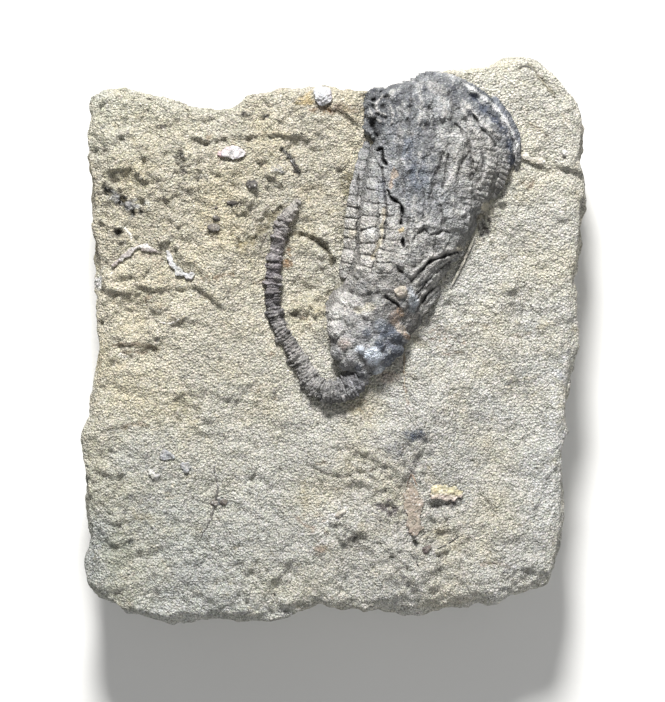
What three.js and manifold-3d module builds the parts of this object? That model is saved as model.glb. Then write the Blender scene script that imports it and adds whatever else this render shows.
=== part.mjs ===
// A crinoid, or sea lily, preserved in relief on a broken slab of siltstone.
// Millimetres, +Z up. The slab lies on its flat underside at z = 0, centred on the Z axis.
// +Y runs from the lower edge to the edge that the arms reach. +X is to the right, seen from above.

import * as THREE from "three";
import { ImprovedNoise } from "three/addons/math/ImprovedNoise.js";
import { mergeVertices } from "three/addons/utils/BufferGeometryUtils.js";
import Module from "manifold-3d";

const wasm = await Module();
wasm.setup();

// Driving dimensions.
const slabThickness = 19; // underside to the plain part of the top face
const gap = 0.3; // kept between pieces that lie against each other
const slabGrid = { across: 30, along: 34, walls: 4 }; // faces of the slab's mesh
const rim = { drop: 1.1, sharpness: 24 }; // how far the top face falls at its worn rim, and how suddenly

// The underside: stone below z = 0 that is trimmed off flat, and how far its rim is chipped up.
const underside = { sag: 0.8, chip: 2.2, chipVariation: 1.2, sharpness: 20 };
const trimBlock = { side: 200, thickness: 20 };

// The broken walls: where the bevel under the top face ends, as a share of the height, then the
// bevel's depth, the undercut below it, and the lumps of the break.
const wallShape = {
  bevelFrom: 0.8,
  bevel: 0.6,
  undercut: 4.2,
  undercutPower: 1.6,
  lumps: 1.1,
  lumpSize: 9,
  lumpLean: { x: 7, y: -5 },
  lumpLayer: { from: 5.5, growth: 2 },
  sharpness: 8,
};

// Faces of the smaller pieces' meshes.
const facets = {
  arm: { sides: 7, steps: 9 },
  stem: { sides: 9, steps: 26 },
  strip: { sides: 5, steps: 7 },
  lump: { around: 10, down: 6 },
  cup: { around: 16, down: 10 },
};

// The slab's four edges seen from above. The side edges run upwards and the others to the right.
const topEdge = [
  [-43.6, 43.0], [-42.0, 44.2], [-39.5, 44.8], [-37.0, 44.5], [-35.2, 43.9], [-32.8, 44.2],
  [-30.9, 43.9], [-29.5, 43.1], [-27.4, 42.8], [-26.0, 41.9], [-22.5, 41.8], [-19.5, 42.0],
  [-17.7, 42.6], [-16.4, 44.1], [-14.8, 44.8], [-12.2, 45.0], [-10.0, 45.5], [-5.6, 45.1],
  [-2.6, 45.6], [1.0, 45.1], [4.7, 45.6], [5.6, 44.6], [8.8, 44.2], [10.5, 45.2],
  [15.0, 46.5], [17.8, 47.2], [20.2, 48.6], [24.5, 49.3], [27.2, 49.3], [29.6, 50.3],
  [32.2, 51.0], [34.5, 50.6], [37.8, 49.6], [39.8, 47.9], [41.5, 45.9],
];
const bottomEdge = [
  [-42.9, -46.1], [-40.8, -47.2], [-39.4, -47.5], [-38.2, -49.3], [-35.0, -50.0], [-32.0, -50.6],
  [-29.6, -51.2], [-27.8, -50.7], [-25.5, -50.5], [-20.0, -50.8], [-15.0, -50.5], [-9.2, -49.8],
  [-6.5, -48.5], [-3.0, -47.6], [-1.2, -48.7], [2.0, -48.7], [3.6, -49.0], [5.0, -49.8],
  [6.4, -49.4], [7.6, -48.6], [11.5, -48.6], [15.0, -49.1], [20.5, -48.5], [24.0, -47.8],
  [25.8, -46.9], [28.0, -47.7], [30.4, -47.1], [31.6, -46.3], [35.0, -45.8], [37.6, -45.0],
  [38.7, -43.8],
];
const leftEdge = [
  [-42.9, -46.1], [-43.9, -44.3], [-44.1, -40.0], [-43.9, -35.0], [-44.5, -31.5], [-44.9, -25.5],
  [-44.8, -19.5], [-44.2, -14.5], [-43.6, -8.5], [-42.9, -2.5], [-42.8, 8.0], [-43.0, 16.0],
  [-43.7, 24.0], [-44.3, 29.0], [-44.7, 33.5], [-44.2, 39.0], [-44.3, 41.3], [-43.6, 43.0],
];
const rightEdge = [
  [38.7, -43.8], [40.0, -39.5], [40.4, -35.0], [40.9, -30.0], [41.2, -22.5], [40.9, -17.8],
  [41.6, -15.6], [42.2, -8.5], [43.0, -4.5], [43.5, 3.0], [43.6, 6.5], [43.1, 10.0],
  [43.6, 11.8], [44.3, 17.0], [44.6, 24.0], [44.8, 29.5], [44.3, 33.0], [44.9, 38.0],
  [44.2, 41.2], [43.0, 44.0], [41.5, 45.9],
];

// Broad swells and hollows of the top face: a centre, two radii and a height.
const swells = [
  { name: "raised corner", x: -32, y: 34, across: 30, along: 22, rise: 1.3 },
  { name: "hollow in the stem's loop", x: -4, y: 10, across: 11, along: 17, rise: -1.8 },
  { name: "lower right slope", x: 38, y: -30, across: 26, along: 40, rise: -1.2 },
  { name: "swell under the cup", x: 8, y: -34, across: 30, along: 16, rise: 0.8 },
  { name: "upper right shoulder", x: 36, y: 40, across: 12, along: 12, rise: 0.9 },
];
const swellReach = 1.25; // how far a swell runs out, in its own radii
const relief = [
  { name: "coarse", height: 0.9, size: 19, layer: 3.1 },
  { name: "fine", height: 0.35, size: 6.5, layer: 8.7 },
];

// The mound that the crown lies on: its axis, and stations of distance along it, sideways shift
// of the middle, half width and rise.
const crownAxis = { from: [5, -4], to: [20, 46] };
const moundSection = { flatness: 2.4, steepness: 0.8 };
const crownStations = [
  [-3, 0.0, 3.2, 0.0],
  [1, -0.4, 5.4, 2.6],
  [6, -0.9, 7.8, 4.5],
  [16, 0.3, 8.9, 5.3],
  [28, 0.9, 12.0, 5.7],
  [40, 2.0, 13.8, 5.2],
  [47, 1.0, 13.6, 4.1],
  [52, 0.8, 8.0, 2.4],
  [56, 0.8, 4.4, 1.0],
];

// Arms, from the cup outwards. Widths are at the cup and at the tip, and lift is the height of
// the arm's middle line over the stone.
const arms = {
  arm_left_outer: {
    points: [[1.8, 10.8], [2.9, 15.0], [3.1, 19.5], [3.8, 25.0], [4.9, 30.5], [6.0, 34.8]],
    widths: [2.6, 1.6],
  },
  arm_left_inner: {
    points: [[4.6, 9.6], [5.9, 14.0], [6.2, 19.0], [6.8, 24.0], [7.4, 29.0], [7.5, 33.6]],
    widths: [3.0, 1.9],
  },
  arm_middle_left: {
    points: [
      [7.8, 9.0], [9.2, 13.0], [9.9, 18.0], [9.8, 22.5],
      [9.4, 27.0], [9.6, 32.0], [10.2, 37.5], [10.5, 43.6],
    ],
    widths: [3.0, 3.0],
  },
  arm_centre_a: {
    points: [
      [11.3, 9.6], [12.7, 14.5], [13.2, 20.0], [13.0, 26.0],
      [13.4, 33.0], [14.0, 39.0], [13.9, 44.8],
    ],
    widths: [3.0, 3.2],
  },
  arm_centre_b: {
    points: [
      [13.9, 10.8], [15.8, 15.5], [16.4, 21.0], [16.4, 27.0],
      [17.3, 33.5], [17.9, 39.0], [17.4, 45.8],
    ],
    widths: [2.8, 3.4],
  },
  arm_centre_c: {
    points: [
      [16.9, 14.0], [18.9, 18.0], [19.5, 23.0], [19.8, 28.0],
      [21.0, 33.0], [21.8, 37.5], [21.4, 42.0], [20.8, 45.6],
    ],
    widths: [2.5, 3.1],
  },
  arm_right_a: {
    points: [
      [21.3, 16.9], [22.6, 20.5], [22.8, 25.0], [23.2, 29.0],
      [24.5, 32.6], [25.3, 36.0], [25.2, 40.0], [24.4, 43.4],
    ],
    widths: [2.3, 2.7],
  },
  arm_right_b: {
    points: [
      [25.0, 22.4], [25.7, 25.4], [26.6, 28.6], [27.7, 31.6],
      [28.1, 34.8], [27.8, 38.2], [27.0, 41.2],
    ],
    widths: [2.1, 2.2],
  },
  arm_right_c: {
    points: [[28.0, 25.4], [29.4, 28.0], [30.2, 30.8], [30.5, 33.6], [30.0, 36.6], [29.2, 39.0]],
    widths: [1.8, 1.6],
  },
  arm_right_outer: {
    points: [[31.1, 28.6], [32.2, 31.4], [32.2, 34.6], [31.0, 38.2], [29.0, 41.4], [26.4, 44.2]],
    widths: [1.5, 1.9],
  },
  arm_folded_upper: {
    points: [[12.6, 6.4], [15.4, 9.9], [18.4, 13.1], [22.6, 15.4]],
    widths: [2.2, 1.6],
  },
  arm_folded_lower: {
    points: [[13.6, 2.6], [16.2, 6.4], [19.0, 10.2], [21.6, 13.2]],
    widths: [2.0, 1.5],
  },
  arm_broken_tip: {
    points: [[7.0, 36.4], [6.9, 39.0], [7.3, 41.6], [7.6, 44.0]],
    widths: [2.6, 3.4],
  },
};
const armShape = { heightShare: 1.1, lift: 0.35, ...facets.arm }; // heightShare is height over width
const rodEnd = { start: 0.25, growth: 9, capSharpness: 20 }; // how an end of a rod rounds off

const cup = { x: 6.2, y: 1.9, halfWidth: 6.6, halfLength: 8.6, height: 3.6, lean: -0.35, lift: 0.5 };

const stem = {
  points: [
    [5.6, -5.2], [4.4, -7.4], [2.4, -9.2], [0.3, -10.0], [-1.8, -9.8], [-3.7, -8.5], [-5.2, -6.4],
    [-6.4, -4.3], [-7.8, -2.0], [-9.4, 0.4], [-10.6, 3.0], [-11.2, 6.0], [-11.4, 9.0], [-11.2, 12.0],
    [-10.9, 15.0], [-10.2, 18.0], [-9.3, 20.5], [-8.1, 22.9], [-6.6, 24.9],
  ],
  widths: [4.2, 4.3, 4.0, 3.5, 2.9, 2.6, 2.6, 2.6, 2.6, 2.6, 2.4, 2.3],
};
const stemShape = { heightShare: 0.85, lift: 0.35, ...facets.stem };

// Small fossils scattered on the stone. Strips have a route, and lumps a middle and three sizes.
const strips = {
  shell_edge_left: {
    points: [[-40.0, 12.6], [-37.6, 14.6], [-35.2, 16.2], [-33.0, 15.6], [-31.2, 15.0]],
    width: 0.9,
  },
  shell_edge_right: {
    points: [[-30.0, 15.4], [-29.7, 13.8], [-28.4, 11.9], [-26.4, 10.8], [-25.2, 11.2]],
    width: 1.0,
  },
  shell_edge_crown: { points: [[33.6, 32.9], [34.9, 32.2], [36.6, 31.7], [38.4, 31.0]], width: 0.9 },
  spine: { points: [[25.1, 18.4], [23.9, 15.6], [22.4, 12.4], [20.3, 8.4]], width: 0.55 },
};
const stripShape = { heightShare: 1.5, lift: 0.35, ...facets.strip };
const lumpLift = 0.25;
const stainedLumps = ["plate_fragment", "shell_wedge"];
const lumps = {
  ossicle_top: { at: [-2.3, 43.5], size: [3.4, 2.8, 1.9], turn: 10 },
  ossicle_oval: { at: [-18.3, 33.0], size: [4.6, 2.1, 1.7], turn: -4 },
  ossicle_small: { at: [-15.0, 27.6], size: [1.8, 1.3, 1.3], turn: 25 },
  ossicle_low_a: { at: [-30.0, -21.3], size: [2.7, 1.9, 1.3], turn: -10 },
  ossicle_low_b: { at: [-26.6, -23.4], size: [2.0, 1.8, 1.2], turn: 0 },
  ossicle_low_c: { at: [-32.4, -24.6], size: [1.9, 1.4, 1.1], turn: -35 },
  plate_fragment: { at: [19.4, -27.9], size: [6.4, 2.5, 1.5], turn: 4 },
  shell_wedge: { at: [13.9, -30.8], size: [3.0, 10.6, 1.3], turn: 6 },
};

const colours = {
  stone: 0xbdb8a6,
  crinoid: 0x8f8f90,
  stem: 0x777472,
  shell: 0xd6d3cb,
  stained: 0xc9b07e,
};
const roughnesses = { stone: 0.95, crinoid: 0.8, shell: 0.6 };
const weldDistance = 1e-4;

// ---- helpers -------------------------------------------------------------------------------

const noise = new ImprovedNoise();

function noiseAt(x, y, size, layer) {
  return noise.noise(x / size, y / size, layer);
}

function smoothStep(t) {
  const s = Math.min(1, Math.max(0, t));
  return s * s * (3 - 2 * s);
}

// A value read from a list of evenly spaced values at share t of its length.
function along(values, t) {
  const at = Math.min(1, Math.max(0, t)) * (values.length - 1);
  const low = Math.min(values.length - 2, Math.floor(at));
  return THREE.MathUtils.lerp(values[low], values[low + 1], at - low);
}

function splineOf(points) {
  return new THREE.SplineCurve(points.map(([x, y]) => new THREE.Vector2(x, y)));
}

// ---- the top face of the stone -------------------------------------------------------------

function crownMound(x, y) {
  const [fromX, fromY] = crownAxis.from;
  const direction = new THREE.Vector2(crownAxis.to[0] - fromX, crownAxis.to[1] - fromY).normalize();
  const distance = (x - fromX) * direction.x + (y - fromY) * direction.y;
  const sideways = (x - fromX) * direction.y - (y - fromY) * direction.x;
  const last = crownStations.length - 1;
  if (distance <= crownStations[0][0] || distance >= crownStations[last][0]) return 0;
  const next = crownStations.findIndex((station) => station[0] > distance);
  const [low, high] = [crownStations[next - 1], crownStations[next]];
  const share = smoothStep((distance - low[0]) / (high[0] - low[0]));
  const [, middle, halfWidth, rise] = low.map((value, i) => THREE.MathUtils.lerp(value, high[i], share));
  const u = Math.abs(sideways - middle) / halfWidth;
  const { flatness, steepness } = moundSection;
  return u >= 1 ? 0 : rise * Math.pow(1 - Math.pow(u, flatness), steepness);
}

function topHeight(x, y) {
  let z = slabThickness;
  for (const s of swells) {
    const r = Math.hypot((x - s.x) / s.across, (y - s.y) / s.along);
    z += s.rise * smoothStep(swellReach - r);
  }
  for (const { height, size, layer } of relief) z += height * noiseAt(x, y, size, layer);
  return z + crownMound(x, y);
}

// ---- solids --------------------------------------------------------------------------------

function solidOf(geometry) {
  const bare = geometry.clone();
  bare.deleteAttribute("normal");
  bare.deleteAttribute("uv");
  const merged = mergeVertices(bare, weldDistance);
  return new wasm.Manifold(
    new wasm.Mesh({
      numProp: 3,
      vertProperties: merged.attributes.position.array,
      triVerts: new Uint32Array(merged.index.array),
    }),
  );
}

// The largest body of a solid, so that a cut leaves no loose slivers.
function mainBody(solid) {
  return solid.decompose().reduce((a, b) => (b.volume() > a.volume() ? b : a));
}

function geometryOf(solid) {
  const made = solid.getMesh();
  const geometry = new THREE.BufferGeometry();
  geometry.setAttribute("position", new THREE.BufferAttribute(Float32Array.from(made.vertProperties), 3));
  geometry.setIndex(new THREE.BufferAttribute(Uint32Array.from(made.triVerts), 1));
  const flat = geometry.toNonIndexed();
  flat.computeVertexNormals();
  return flat;
}

function pieceOf(name, solid, colour, roughness) {
  const material = new THREE.MeshStandardMaterial({ color: colour, roughness, metalness: 0 });
  const mesh = new THREE.Mesh(geometryOf(solid), material);
  mesh.name = name;
  return mesh;
}

// The lumps of the broken walls at a place of the outline and a share w of the height.
function wallLump(place, w) {
  const { lumpSize, lumpLean, lumpLayer } = wallShape;
  const layer = lumpLayer.from + lumpLayer.growth * w;
  return noiseAt(place.x + lumpLean.x * w, place.y + lumpLean.y * w, lumpSize, layer);
}

// How far the wall lies inside the outline at a share w of the height.
function wallDepth(w, bulge) {
  const { bevelFrom, bevel, undercut, undercutPower, lumps: lumpDepth } = wallShape;
  if (w > bevelFrom) return bevel * smoothStep((w - bevelFrom) / (1 - bevelFrom));
  const below = bevelFrom - w;
  return undercut * Math.pow(below, undercutPower) + lumpDepth * bulge * below;
}

// A box whose sides follow the four edges, whose top is the relief and whose walls are broken.
function slabSolid() {
  const edges = { top: splineOf(topEdge), bottom: splineOf(bottomEdge) };
  edges.left = splineOf(leftEdge);
  edges.right = splineOf(rightEdge);
  const corners = [topEdge[0], topEdge.at(-1), bottomEdge[0], bottomEdge.at(-1)];
  const { across, along: rows, walls } = slabGrid;
  const geometry = new THREE.BoxGeometry(1, 1, 1, across, rows, walls);
  const position = geometry.attributes.position;
  for (let i = 0; i < position.count; i++) {
    const u = position.getX(i) + 0.5;
    const v = position.getY(i) + 0.5;
    const w = position.getZ(i) + 0.5;
    const place = patchPoint(edges, corners, u, v);
    const edge = Math.max(Math.abs(2 * u - 1), Math.abs(2 * v - 1));
    const inwards = place.clone().normalize();
    const bulge = wallLump(place, w);
    place.addScaledVector(inwards, -wallDepth(w, bulge) * Math.pow(edge, wallShape.sharpness));
    const top = topHeight(place.x, place.y) - rim.drop * Math.pow(edge, rim.sharpness);
    const chip = underside.chip + underside.chipVariation * bulge;
    const bottom = -underside.sag + chip * Math.pow(edge, underside.sharpness);
    position.setXYZ(i, place.x, place.y, THREE.MathUtils.lerp(bottom, top, w));
  }
  const { side, thickness } = trimBlock;
  const below = new THREE.BoxGeometry(side, side, thickness).translate(0, 0, -thickness / 2);
  return solidOf(geometry).subtract(solidOf(below));
}

// A point of the surface that spans four edges, u to the right and v upwards.
function patchPoint(edges, [topLeft, topRight, bottomLeft, bottomRight], u, v) {
  const [top, bottom] = [edges.top.getPoint(u), edges.bottom.getPoint(u)];
  const [left, right] = [edges.left.getPoint(v), edges.right.getPoint(v)];
  const blend = (axis) => {
    const k = axis === "x" ? 0 : 1;
    const sides = (1 - v) * bottom[axis] + v * top[axis] + (1 - u) * left[axis] + u * right[axis];
    const ends = (1 - v) * ((1 - u) * bottomLeft[k] + u * bottomRight[k]);
    return sides - ends - v * ((1 - u) * topLeft[k] + u * topRight[k]);
  };
  return new THREE.Vector2(blend("x"), blend("y"));
}

// A rod along a route on the stone, with an oval section and rounded ends, grown by extra.
function rodSolid(points, widthAt, { heightShare, lift, sides, steps, extra = 0 }) {
  const route = splineOf(points);
  const geometry = new THREE.CylinderGeometry(1, 1, 1, sides, steps);
  const position = geometry.attributes.position;
  for (let i = 0; i < position.count; i++) {
    const t = position.getY(i) + 0.5;
    const middle = route.getPointAt(t);
    const tangent = route.getTangentAt(t);
    const endShare = Math.sqrt(Math.min(1, rodEnd.start + rodEnd.growth * Math.min(t, 1 - t)));
    const half = (widthAt(t) / 2) * endShare + extra;
    const sideways = position.getX(i) * half;
    const upwards = position.getZ(i) * (half - extra) * heightShare + position.getZ(i) * extra;
    const cap = smoothStep(1 - rodEnd.capSharpness * (1 - Math.abs(2 * t - 1)));
    const overrun = (t < 0.5 ? -extra : extra) * cap;
    const x = middle.x + tangent.y * sideways + tangent.x * overrun;
    const y = middle.y - tangent.x * sideways + tangent.y * overrun;
    position.setXYZ(i, x, y, topHeight(middle.x, middle.y) + lift + upwards);
  }
  return solidOf(geometry);
}

function lumpSolid({ at: [x, y], size: [long, wide, tall], turn }, lift, extra = 0) {
  const geometry = new THREE.SphereGeometry(1, facets.lump.around, facets.lump.down);
  geometry.scale(long / 2 + extra, wide / 2 + extra, tall / 2 + extra);
  geometry.rotateZ(THREE.MathUtils.degToRad(turn));
  geometry.translate(x, y, topHeight(x, y) + lift);
  return solidOf(geometry);
}

function cupSolid(extra = 0) {
  const geometry = new THREE.SphereGeometry(1, facets.cup.around, facets.cup.down);
  geometry.scale(cup.halfWidth + extra, cup.halfLength + extra, cup.height + extra);
  geometry.rotateZ(cup.lean);
  geometry.translate(cup.x, cup.y, topHeight(cup.x, cup.y) - cup.height + 2 * cup.lift);
  return solidOf(geometry);
}

// ---- the fossil slab -----------------------------------------------------------------------

export function fossilSlab() {
  const group = new THREE.Group();
  const stone = slabSolid();
  const raisedStone = stone.translate([0, 0, gap]);
  const placed = [raisedStone];
  const add = (name, solid, grown, colour, roughness) => {
    const cut = placed.reduce((rest, other) => rest.subtract(other), solid);
    group.add(pieceOf(name, mainBody(cut), colour, roughness));
    placed.push(grown);
  };
  const rodPair = (points, widthAt, shape) => [
    rodSolid(points, widthAt, shape),
    rodSolid(points, widthAt, { ...shape, extra: gap }),
  ];
  group.add(pieceOf("matrix_slab", stone, colours.stone, roughnesses.stone));

  add("cup", cupSolid(), cupSolid(gap), colours.crinoid, roughnesses.crinoid);

  const stemPair = rodPair(stem.points, (t) => along(stem.widths, t), stemShape);
  add("stem", ...stemPair, colours.stem, roughnesses.crinoid);

  for (const [name, { points, widths }] of Object.entries(arms)) {
    const armPair = rodPair(points, (t) => along(widths, t), armShape);
    add(name, ...armPair, colours.crinoid, roughnesses.crinoid);
  }
  for (const [name, { points, width }] of Object.entries(strips)) {
    add(name, ...rodPair(points, () => width, stripShape), colours.shell, roughnesses.shell);
  }
  for (const [name, lump] of Object.entries(lumps)) {
    const colour = stainedLumps.includes(name) ? colours.stained : colours.shell;
    const lumpPair = [lumpSolid(lump, lumpLift), lumpSolid(lump, lumpLift, gap)];
    add(name, ...lumpPair, colour, roughnesses.shell);
  }

  const box = new THREE.Box3().setFromObject(group);
  const middle = box.getCenter(new THREE.Vector3());
  group.position.set(-middle.x, -middle.y, -box.min.z);
  return group;
}

export default fossilSlab();
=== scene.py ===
import math

import bmesh
import bpy
import numpy as np
from mathutils import Matrix, Vector


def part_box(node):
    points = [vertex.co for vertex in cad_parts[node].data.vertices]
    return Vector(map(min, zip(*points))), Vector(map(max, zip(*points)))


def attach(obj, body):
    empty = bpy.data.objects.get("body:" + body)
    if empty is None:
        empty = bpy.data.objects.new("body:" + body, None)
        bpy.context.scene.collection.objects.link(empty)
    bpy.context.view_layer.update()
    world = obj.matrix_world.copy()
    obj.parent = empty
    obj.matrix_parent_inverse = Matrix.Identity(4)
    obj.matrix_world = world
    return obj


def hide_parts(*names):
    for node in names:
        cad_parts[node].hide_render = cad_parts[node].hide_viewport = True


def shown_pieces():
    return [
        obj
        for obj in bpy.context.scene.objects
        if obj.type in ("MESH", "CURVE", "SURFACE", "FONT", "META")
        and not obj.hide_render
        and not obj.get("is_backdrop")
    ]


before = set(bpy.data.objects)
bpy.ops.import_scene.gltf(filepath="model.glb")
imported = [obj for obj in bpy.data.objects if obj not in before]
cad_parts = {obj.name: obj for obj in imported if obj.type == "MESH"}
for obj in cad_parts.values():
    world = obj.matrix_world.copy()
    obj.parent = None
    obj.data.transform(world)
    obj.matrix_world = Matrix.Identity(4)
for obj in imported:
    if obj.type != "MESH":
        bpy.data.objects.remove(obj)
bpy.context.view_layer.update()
slabLow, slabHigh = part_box("matrix_slab")
middle = (slabLow + slabHigh) / 2

# Lengths below are millimetres of the slab as it was designed, this wide.
designWidth = 89.7
unit = (slabHigh.x - slabLow.x) / designWidth
rng = np.random.default_rng(11)


def shade(red, green, blue):
    # a display colour from 0 to 255, as linear light
    value = np.array([red, green, blue]) / 255
    return np.where(value < 0.04045, value / 12.92, ((value + 0.055) / 1.055) ** 2.4)


def ease(value):
    value = np.clip(value, 0, 1)
    return value * value * (3 - 2 * value)


def hashed(x, y, z, layer):
    # a number from 0 to 1 for each cell of a lattice, by odd factors that scatter its bits
    with np.errstate(over="ignore"):
        h = x.astype(np.uint32) * np.uint32(374761393)
        h = h + y.astype(np.uint32) * np.uint32(668265263)
        h = h + z.astype(np.uint32) * np.uint32(2246822519) + np.uint32(layer * 40503 + 7)
        h = (h ^ (h >> np.uint32(15))) * np.uint32(2246822519)
        h = (h ^ (h >> np.uint32(13))) * np.uint32(3266489917)
        h = h ^ (h >> np.uint32(16))
    return (h & np.uint32(0xFFFFFF)) / 0xFFFFFF


def noise(points, size, layer=0):
    # smooth noise from -1 to 1, another pattern for each layer
    at = points / size + 512.5
    low = np.floor(at)
    share = ease(at - low)
    low = low.astype(np.int64)
    total = np.zeros(len(points))
    for corner in range(8):
        step = [(corner >> axis) & 1 for axis in range(3)]
        weight = np.ones(len(points))
        for axis in range(3):
            weight = weight * (share[:, axis] if step[axis] else 1 - share[:, axis])
        total += weight * hashed(*(low[:, axis] + step[axis] for axis in range(3)), layer)
    return total * 2 - 1


def layeredNoise(points, size, octaves, layer=0):
    total = np.zeros(len(points))
    for octave in range(octaves):
        total += noise(points, np.asarray(size) / 2 ** octave, layer + 5 * octave) / 2 ** octave
    return total


def cells(points, size, layer=0):
    # distances to the two nearest cell middles, and a number for the nearest cell
    at = points / size + 512.5
    low = np.floor(at).astype(np.int64)
    first = np.full(len(points), 9.0)
    second = np.full(len(points), 9.0)
    tone = np.zeros(len(points))
    for step in np.ndindex(3, 3, 3):
        cell = low + np.array(step) - 1
        corner = [cell[:, 0], cell[:, 1], cell[:, 2]]
        inner = np.stack([hashed(*corner, layer + k) for k in range(3)], axis=1)
        distance = np.linalg.norm(at - cell - inner, axis=1)
        nearer = distance < first
        second = np.where(nearer, first, np.minimum(second, distance))
        tone = np.where(nearer, hashed(*corner, layer + 3), tone)
        first = np.minimum(first, distance)
    return first, second, tone


def drift(points, size, layer, axes=3):
    # noise of its own along each axis
    return np.stack([noise(points, size, layer + k) for k in range(axes)], axis=1)


def clods(points, size, layer, sharp, level=0.5, offset=0.0):
    # flat-topped lumps of different heights with gutters between them
    first, second, tone = cells(points, size, layer)
    return (tone - level) * ease((second - first) * sharp + offset)


def slanted(points, slope):
    # shears the points, so that a pattern follows the arms
    moved = points.copy()
    moved[:, 0] -= slope * moved[:, 1]
    return moved


def smoothRoute(points, steps=6):
    # a curve through the points
    points = np.array(points, float)
    padded = np.vstack([2 * points[0] - points[1], points, 2 * points[-1] - points[-2]])
    made = []
    for a, b, c, d in zip(padded, padded[1:], padded[2:], padded[3:]):
        for t in np.arange(steps) / steps:
            made.append(0.5 * (2 * b + (c - a) * t + (2 * a - 5 * b + 4 * c - d) * t ** 2
                               + (3 * b - a - 3 * c + d) * t ** 3))
    return np.vstack([made, points[-1]])


def fromRoute(points, route):
    # distance to a route, length along it, and side: 1 on its left, -1 on its right
    best = np.full(len(points), 1e9)
    along = np.zeros(len(points))
    side = np.ones(len(points))
    start = 0.0
    for a, b in zip(route, route[1:]):
        step = b - a
        length = math.hypot(*step)
        offset = points[:, :2] - a
        share = np.clip(offset @ step / length ** 2, 0, 1)
        distance = np.hypot(*(offset - share[:, None] * step).T)
        nearer = distance < best
        best = np.where(nearer, distance, best)
        along = np.where(nearer, start + share * length, along)
        side = np.where(nearer, np.sign(step[0] * offset[:, 1] - step[1] * offset[:, 0]), side)
        start += length
    return best, along, side


def lengthOf(route):
    return np.sum(np.hypot(*np.diff(route, axis=0).T))


def nearRoute(points, route, reach, allowed=True):
    # which points are in the box round a route
    low, high = route.min(0) - reach, route.max(0) + reach
    return np.flatnonzero(allowed & np.all((points[:, :2] > low) & (points[:, :2] < high), axis=1))


def insideOf(points, outline):
    crossings = np.zeros(len(points), int)
    for (ax, ay), (bx, by) in zip(outline, np.roll(outline, -1, axis=0)):
        spans = (ay > points[:, 1]) != (by > points[:, 1])
        crossings += spans & (points[:, 0] < (bx - ax) * (points[:, 1] - ay) / (by - ay + 1e-12) + ax)
    return crossings % 2 == 1


def edgeDistance(points, outline):
    # distance to an outline, positive inside
    distance = fromRoute(points, np.vstack([outline, outline[:1]]))[0]
    return np.where(insideOf(points, outline), distance, -distance)


def pointsOf(mesh):
    flat = np.empty(len(mesh.vertices) * 3, np.float32)
    mesh.vertices.foreach_get("co", flat)
    points = flat.reshape(-1, 3).astype(float)
    points[:, 0] -= middle.x
    points[:, 1] -= middle.y
    return points / unit


def putPoints(mesh, points):
    placed = points * unit
    placed[:, 0] += middle.x
    placed[:, 1] += middle.y
    mesh.vertices.foreach_set("co", placed.astype(np.float32).ravel())
    mesh.update()


def normalsOf(mesh):
    flat = np.empty(len(mesh.vertices) * 3, np.float32)
    mesh.vertex_normals.foreach_get("vector", flat)
    return flat.reshape(-1, 3).astype(float)


def settle(piece):
    # bakes the modifiers into the mesh
    graph = bpy.context.evaluated_depsgraph_get()
    made = bpy.data.meshes.new_from_object(piece.evaluated_get(graph))
    piece.modifiers.clear()
    piece.data = made
    return piece


def pieceFrom(name, bm):
    mesh = bpy.data.meshes.new(name)
    bm.to_mesh(mesh)
    bm.free()
    piece = bpy.data.objects.new(name, mesh)
    bpy.context.collection.objects.link(piece)
    return piece


def copyOf(node):
    bm = bmesh.new()
    bm.from_mesh(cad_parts[node].data)
    bmesh.ops.remove_doubles(bm, verts=bm.verts, dist=1e-6)
    return pieceFrom("seen_" + node, bm)


def remesh(piece, voxel, rounds, strength=0.5):
    made = piece.modifiers.new("voxels", "REMESH")
    made.mode = "VOXEL"
    made.voxel_size = voxel * unit
    relax = piece.modifiers.new("relax", "SMOOTH")
    relax.factor = strength
    relax.iterations = rounds
    return settle(piece)


def paint(mesh, tint, name="tint"):
    if name in mesh.color_attributes:
        mesh.color_attributes.remove(mesh.color_attributes[name])
    layer = mesh.color_attributes.new(name, "FLOAT_COLOR", "POINT")
    flat = np.ones((len(mesh.vertices), 4), np.float32)
    flat[:, :3] = np.clip(tint, 0, 1)
    layer.data.foreach_set("color", flat.ravel())


def blend(tint, share, colour, where=slice(None)):
    # moves the tint towards a colour, in place
    tint[where] += share[:, None] * (colour - tint[where])


def started(node, voxel, rounds):
    # a remeshed copy of a node, with its points and normals
    piece = remesh(copyOf(node), voxel, rounds)
    return piece, pointsOf(piece.data), normalsOf(piece.data)


dressed = []


def dress(piece, material, nodes=()):
    dressed.append(piece)
    piece.data.materials.clear()
    piece.data.materials.append(material)
    for polygon in piece.data.polygons:
        polygon.use_smooth = True
    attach(piece, "root")
    if nodes:
        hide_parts(*nodes)
    return piece


def finished(piece, points, tint, material, nodes=()):
    putPoints(piece.data, points)
    paint(piece.data, tint)
    return dress(piece, material, nodes)


class Wire:
    # a shader socket that can be added, multiplied and so on

    def __init__(self, book, socket):
        self.book = book
        self.socket = socket

    def __add__(self, other):
        return self.book.maths("ADD", self, other)

    def __sub__(self, other):
        return self.book.maths("SUBTRACT", self, other)

    def __rsub__(self, other):
        return self.book.maths("SUBTRACT", other, self)

    def __mul__(self, other):
        return self.book.maths("MULTIPLY", self, other)

    __radd__ = __add__
    __rmul__ = __mul__


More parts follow.
